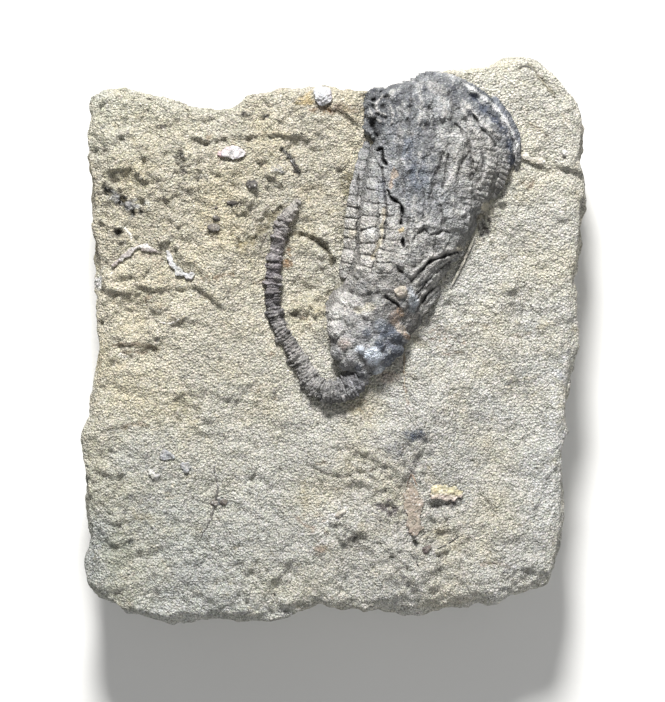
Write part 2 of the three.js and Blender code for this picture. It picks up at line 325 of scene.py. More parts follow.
class Book:
    # one material and its nodes

    def __init__(self, name, stretch=1.0):
        self.material = bpy.data.materials.new(name)
        self.material.use_nodes = True
        self.tree = self.material.node_tree
        self.tree.nodes.clear()
        place = self.node("ShaderNodeTexCoord", output="Object")
        settings = {"operation": "MULTIPLY"}
        self.place = self.node("ShaderNodeVectorMath", settings, {0: place, 1: (1.0, stretch, 1.0)})

    def node(self, kind, settings=None, sockets=None, output=0):
        made = self.tree.nodes.new(kind)
        for key, value in (settings or {}).items():
            setattr(made, key, value)
        for key, value in (sockets or {}).items():
            if isinstance(value, Wire):
                self.tree.links.new(value.socket, made.inputs[key])
            else:
                made.inputs[key].default_value = value
        return Wire(self, made.outputs[output])

    def maths(self, operation, *values):
        return self.node("ShaderNodeMath", {"operation": operation}, dict(enumerate(values)))

    def mix(self, share, low, high, blend="MIX"):
        settings = {"data_type": "RGBA", "blend_type": blend, "clamp_factor": True}
        return self.node("ShaderNodeMix", settings, {0: share, 6: low, 7: high}, output=2)

    def scaled(self, colour, amount):
        settings = {"operation": "SCALE"}
        return self.node("ShaderNodeVectorMath", settings, {0: colour, "Scale": amount})

    def pattern(self, size, layer):
        # the sockets that place and scale a texture
        offset = (layer, 0.37 * layer, 0.61 * layer)
        shifted = self.node("ShaderNodeVectorMath", {"operation": "ADD"}, {0: self.place, 1: offset})
        return {"Vector": shifted, "Scale": 1 / (size * unit)}

    def noise(self, size, detail=2.0, rough=0.5, layer=0.0):
        sockets = dict(self.pattern(size, layer), Detail=detail, Roughness=rough)
        return self.node("ShaderNodeTexNoise", {"noise_dimensions": "3D"}, sockets)

    def cells(self, size, output="Distance", feature="F1", layer=0.0):
        settings = {"feature": feature}
        return self.node("ShaderNodeTexVoronoi", settings, self.pattern(size, layer), output=output)

    def split(self, colour, output=0):
        return self.node("ShaderNodeSeparateColor", None, {0: colour}, output=output)

    def step(self, value, low, high):
        settings = {"interpolation_type": "SMOOTHSTEP"}
        return self.node("ShaderNodeMapRange", settings, {0: value, 1: low, 2: high})

    def painted(self, name):
        return self.node("ShaderNodeVertexColor", {"layer_name": name})

    def bump(self, height, distance, strength=1.0):
        sockets = {"Height": height, "Distance": distance * unit, "Strength": strength}
        return self.node("ShaderNodeBump", None, sockets)

    def finish(self, colour, roughness, normal, specular=0.3):
        sockets = {"Base Color": colour, "Roughness": roughness, "Normal": normal}
        sockets["Specular IOR Level"] = specular
        shader = self.node("ShaderNodeBsdfPrincipled", None, sockets)
        out = self.tree.nodes.new("ShaderNodeOutputMaterial")
        self.tree.links.new(shader.socket, out.inputs["Surface"])
        return self.material


def colour4(rgb):
    return (*[float(v) for v in rgb], 1.0)


def mineral(name, look):
    # rounded grains over the painted tint, with darker gaps and pale and dark specks
    book = Book(name, look["stretch"])
    tint = book.painted("tint")
    grain = look["grain"]
    warp = book.noise(grain * 0.8, 4.0, 0.68)
    edge = book.cells(grain, feature="DISTANCE_TO_EDGE", layer=2.0)
    dome = book.cells(grain, layer=2.0)
    cellColour = book.cells(grain, "Color", layer=2.0)
    seed = book.split(cellColour)
    broad = book.noise(grain * 3.2, 3.0, 0.65, layer=5.0)
    patch = book.noise(grain * 16, 3.0, 0.6, layer=9.0)
    hollow = book.step(edge, 0.0, look["gapWidth"])
    bright = 1.0 + look["seed"] * (seed - 0.5) + look["fine"] * (warp - 0.5)
    bright = bright + look["broad"] * (broad - 0.5) + look["patch"] * (patch - 0.5)
    bright = bright * (1.0 - look["gap"] * (1.0 - hollow))
    sockets = {0: cellColour, 1: look["hue"], 2: look["hueBase"]}
    chroma = book.node("ShaderNodeVectorMath", {"operation": "MULTIPLY_ADD"}, sockets)
    tinted = book.node("ShaderNodeVectorMath", {"operation": "MULTIPLY"}, {0: tint, 1: chroma})
    colour = book.scaled(tinted, bright)
    speck = book.split(book.cells(grain * 0.8, "Color", layer=13.0), 1)
    pale = book.step(speck, *look["paleSpecks"])
    dark = book.step(speck, *look["darkSpecks"])
    colour = book.mix(pale * look["paleAmount"], colour, colour4(look["paleTint"]))
    colour = book.mix(dark * look["darkAmount"], colour, colour4(look["darkTint"]))
    stain = book.step(book.noise(grain * 9, 4.0, 0.65, layer=21.0), *look["stain"])
    colour = book.mix(stain * look["stainAmount"], colour, colour4(look["stainTint"]))
    height = 0.9 * warp + broad * look["broadBump"] - 0.8 * dome
    normal = book.bump(height, look["bump"])
    roughness = look["roughness"] + 0.12 * (broad - 0.5)
    return book.finish(colour, roughness, normal, look["specular"])


stoneLook = {
    "grain": 0.42, "stretch": 1.0, "gapWidth": 0.14, "gap": 0.48, "seed": 0.26, "fine": 1.25, "broad": 0.72,
    "patch": 0.34, "hue": (0.05, 0.05, 0.10), "hueBase": (0.975, 0.975, 0.95),
    "paleSpecks": (0.84, 0.90), "paleAmount": 0.22, "paleTint": shade(240, 238, 228),
    "darkSpecks": (0.11, 0.07), "darkAmount": 0.5, "darkTint": shade(92, 90, 76),
    "stain": (0.58, 0.74), "stainAmount": 0.28, "stainTint": shade(190, 174, 134),
    "bump": 0.62, "broadBump": 1.6, "roughness": 0.9, "specular": 0.2,
}
calciteLook = {
    "grain": 0.38, "stretch": 1.0, "gapWidth": 0.13, "gap": 0.4, "seed": 0.22, "fine": 1.1, "broad": 0.8,
    "patch": 0.35, "hue": (0.05, 0.05, 0.07), "hueBase": (0.975, 0.975, 0.965),
    "paleSpecks": (0.88, 0.93), "paleAmount": 0.25, "paleTint": shade(222, 221, 218),
    "darkSpecks": (0.11, 0.06), "darkAmount": 0.5, "darkTint": shade(58, 60, 66),
    "stain": (0.60, 0.74), "stainAmount": 0.25, "stainTint": shade(180, 176, 166),
    "bump": 0.36, "broadBump": 1.1, "roughness": 0.75, "specular": 0.3,
}
stemLook = dict(calciteLook, stain=(0.60, 0.76), stainAmount=0.2, paleAmount=0.2, grain=0.32, bump=0.26)
shellLook = dict(
    calciteLook, grain=0.4, seed=0.15, fine=0.6, broad=0.5, patch=0.3, gap=0.25, paleAmount=0.3,
    paleTint=shade(242, 240, 236), darkAmount=0.3, darkTint=shade(140, 134, 126), stainAmount=0.3,
    stainTint=shade(196, 186, 164), bump=0.16, roughness=0.6, specular=0.35,
)
stoneMaterial = mineral("siltstone", stoneLook)
calciteMaterial = mineral("crinoid calcite", calciteLook)
stemMaterial = mineral("stem calcite", stemLook)
shellMaterial = mineral("shell calcite", shellLook)
stainedShellLook = dict(shellLook, broad=0.7, patch=0.6, stainTint=shade(170, 120, 60))
stainedMaterial = mineral("stained shell", stainedShellLook)


tints = {
    # the dark grey tint below colours dark fragments, and is also painted shade in grooves, cracks, notches
    # and under ridges
    "darkAndShade": shade(62, 58, 56), "black": shade(22, 21, 22), "olive": shade(116, 108, 84),
    "brown": shade(134, 108, 82), "tan": shade(180, 168, 142), "cream": shade(216, 208, 186),
    "white": shade(226, 225, 222), "yellow": shade(204, 182, 136),
    "pink": shade(196, 172, 156), "purple": shade(112, 104, 108), "grey": shade(146, 146, 146),
    "blue": shade(98, 106, 120), "ice": shade(214, 222, 232), "green": shade(148, 150, 128),
    "pale": shade(198, 195, 190), "slate": shade(84, 90, 102), "ink": shade(70, 76, 90),
    "rust": shade(172, 156, 140), "peach": shade(194, 182, 168), "crust": shade(214, 213, 209),
    "smoke": shade(74, 77, 85), "suture": shade(66, 63, 60), "valleyShade": shade(70, 70, 74),
    "discGap": shade(66, 63, 62), "lime": shade(190, 186, 180), "spots": shade(112, 108, 98),
    "footShade": shade(120, 114, 98), "shadeUnderCrown": shade(84, 84, 86),
}


def zoned(points, zones):
    # values that run into one another: middle, radius and value of each zone
    total, weights = 0.0, 0.0
    for x, y, radius, value in zones:
        offset = (points[:, 0] - x) ** 2 + (points[:, 1] - y) ** 2
        weight = np.exp(-offset / (2 * radius ** 2)) + 1e-9
        total = total + weight[:, None] * np.array(value)
        weights = weights + weight
    return total / weights[:, None]


def zoneTint(points, zones):
    return zoned(points, [(x, y, radius, shade(*colour)) for x, y, radius, colour in zones])


def zoneValue(points, zones):
    return zoned(points, zones)[:, 0]


def applyMarks(points, tint, lines, patches, layer=40):
    # raises or sinks the points along lines and in patches, and tints them there
    lift = np.zeros(len(points))
    wobble = 0.35 * drift(points, 1.6, layer, 2) + 0.15 * drift(points, 0.6, layer + 2, 2)
    for route, half, rise, name, strength in lines:
        route = smoothRoute(route)
        near = nearRoute(points, route, 4 * half + 1)
        if not len(near):
            continue
        calm = min(1.0, 0.35 + half)
        distance, along, _ = fromRoute(points[near][:, :2] + calm * wobble[near], route)
        fromEnd = np.minimum(along, lengthOf(route) - along)
        thin = half * (0.75 + 0.35 * np.sin(along * 2.3 + route[0, 0]))
        thin = thin * ease(fromEnd / (2 * half) + 0.35)
        fall = np.exp(-(distance / np.maximum(thin, 0.05)) ** 2)
        lift[near] += rise * fall
        if name:
            blend(tint, strength * ease(1.6 * fall), tints[name], near)
    for (x, y), (across, tall), turn, rise, name, strength in patches:
        reach = 1.6 * max(across, tall)
        near = np.flatnonzero(np.hypot(points[:, 0] - x, points[:, 1] - y) < reach)
        if not len(near):
            continue
        offset = points[near][:, :2] + wobble[near] * min(1.0, 0.5 * max(across, tall)) - (x, y)
        c, s = math.cos(math.radians(turn)), math.sin(math.radians(turn))
        u = (offset[:, 0] * c + offset[:, 1] * s) / across
        v = (offset[:, 1] * c - offset[:, 0] * s) / tall
        fall = ease(1.25 - np.hypot(u, v))
        lift[near] += rise * fall
        if name:
            blend(tint, strength * ease(1.5 * fall), tints[name], near)
    return lift


print("stage: stone")
stone = {
    "voxel": 0.40, "relax": 9, "lumps": 0.42, "flakes": 0.56, "grains": 0.13, "wallLumps": 0.9,
    "wallLayers": 0.75, "wallFlakes": 0.7, "keepShare": 0.60, "cliff": 0.9, "flecks": 240, "nicks": 120,
    "warmth": 0.8, "blotch": 0.06, "gain": (1.10, 1.12, 1.16), "warmShift": (0.03, -0.003, -0.10),
    "ledgeRise": 1.35, "marksFrom": 11.0, "marksRamp": 4.0, "seamDepth": 0.25, "seamWidth": 0.7,
    "underFossils": 0.3, "chalkAndHighlight": 0.25, "crownCorner": (-8, -16), "plainHalf": (40, 44), "flankReach": 12,
}
facePlane = 19.0
lowestFace = 15.5
# how rough the top is: middle, radius and share
roughZones = [
    (-4, 13, 5, 1.8), (-14, 20, 4.5, 1.7), (-28, 34, 8, 1.4), (-10, 36, 6, 1.5), (-40, 28, 6, 1.4),
    (34, 42, 7, 0.9), (14, -32, 7, 1.7), (-22, -30, 8, 1.2), (2, -30, 6, 1.5), (10, -8, 5, 1.3),
    (-33, 12, 7, 1.3), (-20, 0, 8, 0.7), (-4, -18, 8, 0.7), (28, -12, 9, 0.8), (34, 12, 8, 1.0),
    (-38, -38, 8, 1.4), (-8, -42, 8, 1.3), (32, -38, 8, 1.0), (-34, -14, 8, 1.0), (-4, 27, 5, 1.2),
]
stoneZones = [
    (-32, 30, 14, (184, 175, 152)), (-40, 42, 7, (186, 186, 172)), (-24, 44, 5, (184, 182, 166)),
    (-14, 34, 14, (186, 178, 158)), (-30, 6, 16, (198, 188, 162)), (-4, 10, 8, (190, 184, 166)),
    (-18, -12, 16, (194, 189, 173)), (-34, -38, 14, (172, 173, 164)), (-12, -38, 16, (188, 185, 172)),
    (12, -30, 14, (186, 180, 166)), (28, -30, 14, (190, 187, 175)), (30, 0, 14, (198, 194, 181)),
    (38, 42, 12, (200, 194, 176)), (36, 22, 12, (192, 187, 172)), (41, -20, 7, (208, 206, 197)),
    # the four pale zones at the foot edge are its pale broken rim, also brightened as a painted highlight
    (14, -8, 10, (192, 188, 176)), (-28, -52, 4, (216, 213, 200)), (-8, -53, 4, (216, 213, 200)),
    (12, -52, 4, (216, 213, 200)), (30, -50, 4, (218, 215, 202)),
]
crownEdge = smoothRoute([
    (4.0, -6.6), (1.7, -5.0), (0.3, -3.3), (-0.7, -1.0), (-1.3, 1.0), (-1.6, 3.5), (-1.5, 5.5),
    (-0.7, 7.5), (0.5, 9.0), (1.8, 9.7), (2.2, 12.0), (2.0, 15.0), (1.8, 18.0), (2.0, 21.5),
    (2.5, 25.5), (3.4, 28.5), (4.6, 31.5), (6.0, 33.5), (6.8, 35.5), (5.4, 38.0), (5.5, 41.0),
    (5.9, 43.8), (7.6, 44.8), (9.0, 44.4), (10.4, 45.6), (13.0, 46.5), (15.3, 47.4), (18.0, 47.5),
    (21.0, 46.9), (24.0, 45.6), (27.0, 43.5), (29.2, 41.2), (31.0, 38.5), (32.2, 35.8), (32.6, 33.8),
    (31.9, 30.8), (30.5, 28.7), (29.0, 26.4), (27.4, 24.2), (26.7, 22.7), (25.4, 22.2), (25.0, 20.0),
    (24.0, 18.0), (22.8, 16.6), (22.6, 15.2), (21.0, 13.5), (19.5, 11.5), (18.0, 9.5), (16.4, 6.7),
    (15.7, 4.5), (15.0, 2.0), (13.6, 0.5), (12.4, -1.0), (10.5, -3.0), (9.0, -4.5), (7.5, -5.8),
    (5.8, -6.8),
], 3)
stoneLines = [
    ([(-41, 26.5), (-39, 24.8), (-37.2, 24), (-35.3, 22.5)], 0.8, 0.35, "black", 0.65),
    ([(-9.9, 34.3), (-8.5, 32.5), (-7.5, 31.3), (-6.5, 29.3)], 0.5, 0.35, "darkAndShade", 0.8),
    # the two olive lines below are painted shadow along sunken steps beside the stem
    ([(-10.3, 23.6), (-12, 21), (-14, 18.7), (-15.5, 17.3), (-18, 16.5)], 0.9, -0.7, "olive", 0.75),
    ([(-8.5, 18.5), (-6, 18.7), (-3, 17.5), (-1.2, 15.5), (-0.7, 13)], 0.5, -0.6, "olive", 0.7),
    ([(-8.7, 4.6), (-7, 4.3), (-5.5, 4)], 0.45, -0.6, "darkAndShade", 0.7),
    ([(-27.6, 35.2), (-27.8, 33.2), (-27.3, 30)], 0.5, 0.2, "darkAndShade", 0.45),
    ([(-26.3, 36.0), (-26.3, 34.5), (-26.8, 32.6)], 0.6, 0.25, "cream", 0.7),
    ([(-31.6, 2.6), (-29.4, 2.6), (-27.8, 3.4), (-26.2, 4.4)], 0.45, 0.35, "cream", 0.7),
    ([(-40, -1.3), (-37, -1.2), (-34, -1.6), (-31, -2.3)], 0.4, -0.3, "brown", 0.5),
    ([(-38.5, -2.4), (-35.5, -2.6), (-33, -2.8)], 0.3, -0.25, "brown", 0.5),
    ([(12, 0), (12.2, -3), (12.3, -8), (13, -12)], 0.22, -0.2, "brown", 0.6),
    # painted shadow under the yellow plate fragment
    ([(16.2, -30.2), (19, -29.6), (22.4, -29.7)], 0.5, -0.5, "darkAndShade", 0.75),
    ([(17.5, -38.6), (20, -37.6), (23.5, -35.6)], 0.5, 0.35, "cream", 0.4),
    ([(15.0, -35.8), (17.5, -34.6), (20.5, -33.6), (22.4, -32.8)], 0.5, 0.35, "cream", 0.3),
    ([(1.0, -37), (2.2, -35.5), (4.6, -34.4), (5.6, -36.0)], 0.4, 0.3, "darkAndShade", 0.5),
    ([(32.3, 48.0), (34, 48.9), (35.3, 48.7), (36.4, 47.4), (38.4, 44.8),
     (39.5, 43.2)], 0.35, -0.35, "olive", 0.6),
    ([(35.0, 38.6), (36.8, 37.6), (38.2, 36.0)], 0.3, -0.2, "brown", 0.4),
    ([(31.4, 0.8), (33.0, 0.2), (35.4, 1.2)], 0.3, -0.2, "brown", 0.4),
    ([(30.6, -7.2), (34, -7.5), (36.4, -6.6)], 0.4, 0.3, "cream", 0.5),
    ([(-17, 4.4), (-14.6, 3.0), (-12.6, 2.6)], 0.35, 0.25, "cream", 0.5),
    ([(-38.5, -16.2), (-35.5, -15.4), (-33.2, -16.0)], 0.35, -0.25, "brown", 0.4),
    ([(22.6, 1.8), (25.2, 2.6), (27.4, 2.0)], 0.3, -0.2, "brown", 0.35),
    ([(-7.5, -31.5), (-5.6, -33.4), (-3.4, -34.0)], 0.3, -0.25, "brown", 0.45),
    ([(25.5, -40.6), (28.4, -40.2), (31.0, -41.0)], 0.35, -0.25, "brown", 0.4),
]
stonePatches = [
    # some patches are painted shadow: the dark notch at (-39, 18.8), the olive hollow at (2, 27.5), the grey
    # patch right of the crown at (26.5, 19.6), the black patch under the shell edge at (32.5, 30.4) and the
    # olive patch below the cup at (15.4, -1.0)
    ((-39.0, 18.8), (1.0, 0.8), 0, -0.7, "darkAndShade", 0.8), ((-16.5, 40.2), (0.9, 0.7), 0, 0.2, "darkAndShade", 0.7),
    ((-12.5, 40.0), (0.7, 0.6), 0, 0.15, "darkAndShade", 0.6), ((-31.2, 38.0), (0.8, 0.6), 0, 0.2, "purple", 0.6),
    ((-22.8, 36.2), (0.7, 0.5), 0, 0.1, "brown", 0.6), ((-10.8, 30.3), (1.6, 1.1), 20, 0.3, "cream", 0.6),
    ((-9.0, 13.5), (0.8, 1.0), 0, -0.3, "brown", 0.8), ((2.0, 27.5), (1.6, 2.4), 0, -0.5, "olive", 0.6),
    ((0.5, 41.2), (5.0, 1.0), 0, -0.5, "brown", 0.45), ((26.5, 19.6), (1.3, 2.0), 10, -0.6, "grey", 0.6),
    ((32.5, 30.4), (0.8, 0.8), 0, -0.8, "black", 0.7), ((41.3, 33.1), (0.6, 0.6), 0, 0.2, "white", 0.8),
    ((14.0, -17.5), (2.2, 1.2), 10, 0.2, "blue", 0.55), ((11.0, -20.0), (2.0, 1.4), 0, 0.1, "grey", 0.5),
    ((9.5, -7.0), (2.2, 1.4), 0, 0.15, "pink", 0.4), ((14.2, -36.5), (0.5, 0.9), 20, -0.8, "black", 0.9),
    ((-2.8, -37.5), (1.4, 0.8), 0, 0.1, "brown", 0.6), ((40.5, -7.0), (0.9, 0.8), 0, 0.1, "blue", 0.5),
    ((-35.0, -30.0), (4.5, 3.0), 20, 0.0, "grey", 0.3), ((-25.0, -42.0), (5.0, 3.0), 0, 0.0, "grey", 0.3),
    ((-39.0, -38.0), (3.0, 4.0), 0, 0.0, "green", 0.35), ((-20.5, 33.0), (0.8, 0.7), 0, 0.2, "pink", 0.8),
    ((-42.4, 10.3), (0.6, 1.3), 0, 0.1, "white", 0.8), ((-4.5, 26.0), (3.0, 2.0), 0, -0.4, "tan", 0.3),
    ((6.0, -12.5), (3.6, 2.0), 0, -0.3, "tan", 0.2), ((15.4, -1.0), (2.2, 1.0), -30, -0.4, "olive", 0.4),
    ((20.5, 6.5), (2.0, 3.0), -35, -0.2, None, 0.0),
]
# edges of thin beds: a route, a rise on its left and how far that rise reaches
stoneLedges = [
    ([(32.8, 33.0), (35, 31.8), (38.5, 31.0), (42, 30.0), (46, 29.5)], 0.9, 9.0),
    ([(-18.0, 34.9), (-20.5, 35.4), (-23, 35.5), (-27, 36.4)], -0.6, 4.0),
    ([(-5, 36.0), (-10, 36.3), (-15.5, 36.0), (-17.5, 35.0)], -0.7, 5.0),
    ([(-10.4, 24.0), (-14, 19.2), (-18.5, 16.6), (-24, 17.5)], 0.7, 7.0),
    ([(-3, 42.0), (1, 40.5), (4.8, 38.0), (4.6, 33.5), (1.4, 29.0)], 0.6, 5.0),
    ([(-44, 10.0), (-38, 8.0), (-31, 9.4), (-24.5, 8.2), (-19, 5.0)], 0.6, 6.0),
    ([(-8.0, 18.5), (-3.2, 18.0), (-0.6, 14), (-1.0, 10.5)], 0.8, 5.0),
    ([(-2.5, 3.0), (-5.0, 4.2), (-9.0, 4.4)], -0.7, 4.0),
    ([(-31, -2.4), (-35, -1.4), (-41, -1.2)], -0.5, 5.0),
    ([(-6, -22), (1, -24.5), (8, -23), (13, -25.5)], 0.4, 6.0),
    ([(24, -25), (28, -31), (26, -38), (20, -43)], 0.5, 8.0),
    ([(-13, -46), (-8, -40), (-10, -33), (-17, -29)], 0.4, 8.0),
    ([(12.6, -1.2), (14.0, -7), (13.2, -13), (16, -19)], 0.35, 6.0),
    ([(30, 18), (33, 12), (31.5, 5), (34.5, -3)], -0.4, 7.0),
    ([(-30, -12), (-24, -9.5), (-18, -11), (-13.5, -8)], 0.4, 6.0),
]


def flatFit(points, sample):
    # a gentle curved surface through the sampled points
    def terms(p):
        x, y = p[:, 0] / 45, p[:, 1] / 50
        return np.stack([np.ones(len(p)), x, y, x * x, x * y, y * y, x ** 3, y ** 3], axis=1)

    solved = np.linalg.lstsq(terms(sample), sample[:, 2], rcond=None)[0]
    return terms(points) @ solved


def bentRoute(x, y, turn, length, bend):
    # three places along a short bent line
    across, up = math.cos(turn) * length / 2, math.sin(turn) * length / 2
    return [(x - across, y - up), (x - bend * up, y + bend * across), (x + across, y + up)]


def scatteredFlecks(count):
    # short shell and plant fragments all over the top face
    names = ["cream", "darkAndShade", "white", "brown", "purple", "tan", "grey", "olive"]
    made = []
    for _ in range(count):
        x, y = rng.uniform(-43, 43), rng.uniform(-48, 48)
        turn, length = rng.normal(0.3, 0.8), rng.uniform(0.5, 2.6)
        bend = rng.normal(0, 0.25) * length
        name = names[int(rng.integers(len(names)))]
        half, rise, strength = rng.uniform(0.14, 0.34), rng.uniform(-0.25, 0.25), rng.uniform(0.2, 0.6)
        made.append((bentRoute(x, y, turn, length, bend), half, rise, name, strength))
    return made


def scatteredLedges(count):
    # small broken edges of beds
    made = []
    for _ in range(count):
        x, y = rng.uniform(-43, 43), rng.uniform(-48, 48)
        turn, length = rng.normal(0.1, 0.5), rng.uniform(1.5, 6.0)
        bend = rng.normal(0, 0.3)
        rise = rng.uniform(0.08, 0.26) * rng.choice([-1, 1])
        made.append((bentRoute(x, y, turn, length, bend), rise, rng.uniform(0.8, 2.4)))
    return made


# grainy clumps: a route, count, spread, size, colour and strength
# the dark clumps near (-39, 18.6) and right of the crown near (26.6, 19.8) are painted shadow
clusters = [
    ([(-41.6, 27.2), (-39, 25.0), (-37.2, 24), (-35.0, 22.3)], 64, 0.42, 0.5, "black", 0.9),
    ([(-40.8, 26.0), (-37.5, 24.4), (-34.4, 22.8)], 16, 0.8, 0.4, "white", 0.5),
    ([(-28.4, 33.6), (-27.9, 32.4)], 9, 0.5, 0.4, "black", 0.7),
    ([(-27.5, 30.6), (-27.2, 29.6)], 6, 0.4, 0.4, "darkAndShade", 0.7),
    ([(-26.5, 35.4), (-26.3, 33.4)], 9, 0.35, 0.45, "cream", 0.8),
    ([(-31.6, 38.2), (-30.8, 37.6)], 6, 0.4, 0.35, "darkAndShade", 0.7),
    ([(-16.9, 40.4), (-15.9, 40.0)], 6, 0.3, 0.35, "black", 0.7),
    ([(-12.8, 40.2), (-12.2, 39.8)], 5, 0.3, 0.35, "darkAndShade", 0.7),
    ([(-9.9, 34.3), (-8.5, 32.5), (-7.5, 31.3), (-6.5, 29.3)], 26, 0.16, 0.32, "black", 0.8),
    ([(-11.6, 30.6), (-10.0, 30.0)], 10, 0.5, 0.4, "grey", 0.7),
    ([(-19.4, 23.9), (-17.4, 24.5)], 12, 0.35, 0.4, "black", 0.8),
    ([(-22.6, 19.4), (-20.9, 19.9)], 12, 0.4, 0.4, "black", 0.75),
    ([(-16.0, 27.5), (-14.4, 27.9)], 9, 0.4, 0.4, "black", 0.75),
    ([(-39.6, 18.9), (-38.0, 18.3)], 10, 0.5, 0.45, "darkAndShade", 0.7),
    ([(-38.9, 20.0), (-36.9, 18.6), (-36.4, 17.2)], 14, 0.4, 0.5, "cream", 0.7),
    ([(12.2, -17.4), (15.8, -17.2)], 30, 0.6, 0.42, "slate", 0.55),
    ([(9.4, -20.4), (12.6, -19.4)], 26, 1.0, 0.5, "grey", 0.4),
    ([(7.6, -30.0), (11.0, -31.0)], 24, 0.6, 0.42, "purple", 0.75),
    ([(-1.4, -32.4), (1.6, -30.8)], 16, 0.5, 0.42, "white", 0.7),
    ([(-0.6, -33.4), (1.2, -32.6)], 12, 0.5, 0.35, "black", 0.6),
    ([(0.4, -36.4), (2.2, -35.4), (4.2, -36.2)], 16, 0.4, 0.35, "darkAndShade", 0.7),
    ([(-4.2, -30.6), (-2.6, -37.6)], 18, 1.0, 0.4, "rust", 0.5),
    ([(-20.6, -29.2), (-19.2, -29.8)], 12, 0.4, 0.35, "slate", 0.75),
    ([(40.4, -3.0), (40.2, -10.0), (39.4, -18.0), (39.0, -25.0)], 70, 1.0, 0.6, "white", 0.5),
    ([(17.6, 1.4), (19.4, -1.0), (22.6, -2.6)], 34, 1.1, 0.3, "rust", 0.7),
    ([(18.0, -0.8), (21.4, 0.8)], 14, 0.7, 0.28, "brown", 0.7),
    ([(26.2, 21.6), (27.0, 18.0)], 30, 0.7, 0.42, "darkAndShade", 0.7),
    ([(33.6, -9.6), (31.0, -6.4)], 14, 0.8, 0.4, "slate", 0.4),
    ([(-33.0, -14.0), (-24.0, -12.0)], 26, 2.0, 0.5, "olive", 0.35),
    ([(-30.5, -23.0), (-33.8, -34.0)], 40, 2.2, 0.6, "slate", 0.22),
    ([(-4.4, 43.0), (-6.2, 42.6)], 14, 0.6, 0.6, "yellow", 0.6),
    ([(-0.6, 40.6), (-3.8, 41.2)], 14, 0.6, 0.5, "brown", 0.5),
    ([(-34.6, 14.9), (-31.0, 13.6)], 18, 0.3, 0.3, "rust", 0.6),
    ([(-24.4, 10.4), (-17.4, 11.4)], 26, 0.35, 0.3, "brown", 0.6),
    ([(-8.6, 16.8), (-8.4, 13.2)], 14, 0.4, 0.4, "brown", 0.8),
    ([(30.0, -41.6), (34.0, -40.8)], 16, 0.5, 0.35, "white", 0.6),
    ([(15.6, -22.0), (12.6, -24.0)], 12, 0.6, 0.4, "purple", 0.5),
    ([(4.4, -12.4), (5.4, -13.4)], 10, 0.5, 0.4, "tan", 0.6),
]


def clusterMarks():
    made = []
    for route, count, spread, size, name, strength in clusters:
        route = smoothRoute(route) if len(route) > 2 else np.array(route, float)
        for _ in range(count):
            at = rng.uniform(0, len(route) - 1)
            low = int(at)
            x, y = route[low] + (at - low) * (route[low + 1] - route[low]) + rng.normal(0, spread, 2)
            sizes = (size * rng.uniform(0.6, 1.5), size * rng.uniform(0.5, 1.0))
            made.append(((x, y), sizes, rng.uniform(-40, 60), rng.uniform(-0.22, 0.24), name, strength))
    return made


def cellAt(points, low, cell, shape):
    # the grid cell of each place
    index = np.floor((points[:, :2] - low) / cell).astype(int)
    return tuple(np.clip(index, 0, np.array(shape) - 1).T)


def neighbours(grid):
    return [np.roll(grid, step, axis) for step in (1, -1) for axis in (0, 1)]


class CoverMap:
    # how near a place is to one of the fossils that lie on the stone, from 0 to 1

    def __init__(self, nodes, cell=0.5, reach=3):
        self.cell = cell
        self.low = np.array([-50.0, -56.0])
        self.share = np.zeros((200, 224))
        for node in nodes:
            sample = remesh(copyOf(node), 0.4, 0)
            self.share[cellAt(pointsOf(sample.data), self.low, cell, self.share.shape)] = 1.0
            bpy.data.objects.remove(sample)
        for _ in range(reach):
            self.share = np.maximum(self.share, 0.8 * np.max(neighbours(self.share), axis=0))

    def at(self, points):
        return ease(self.share[cellAt(points, self.low, self.cell, self.share.shape)])


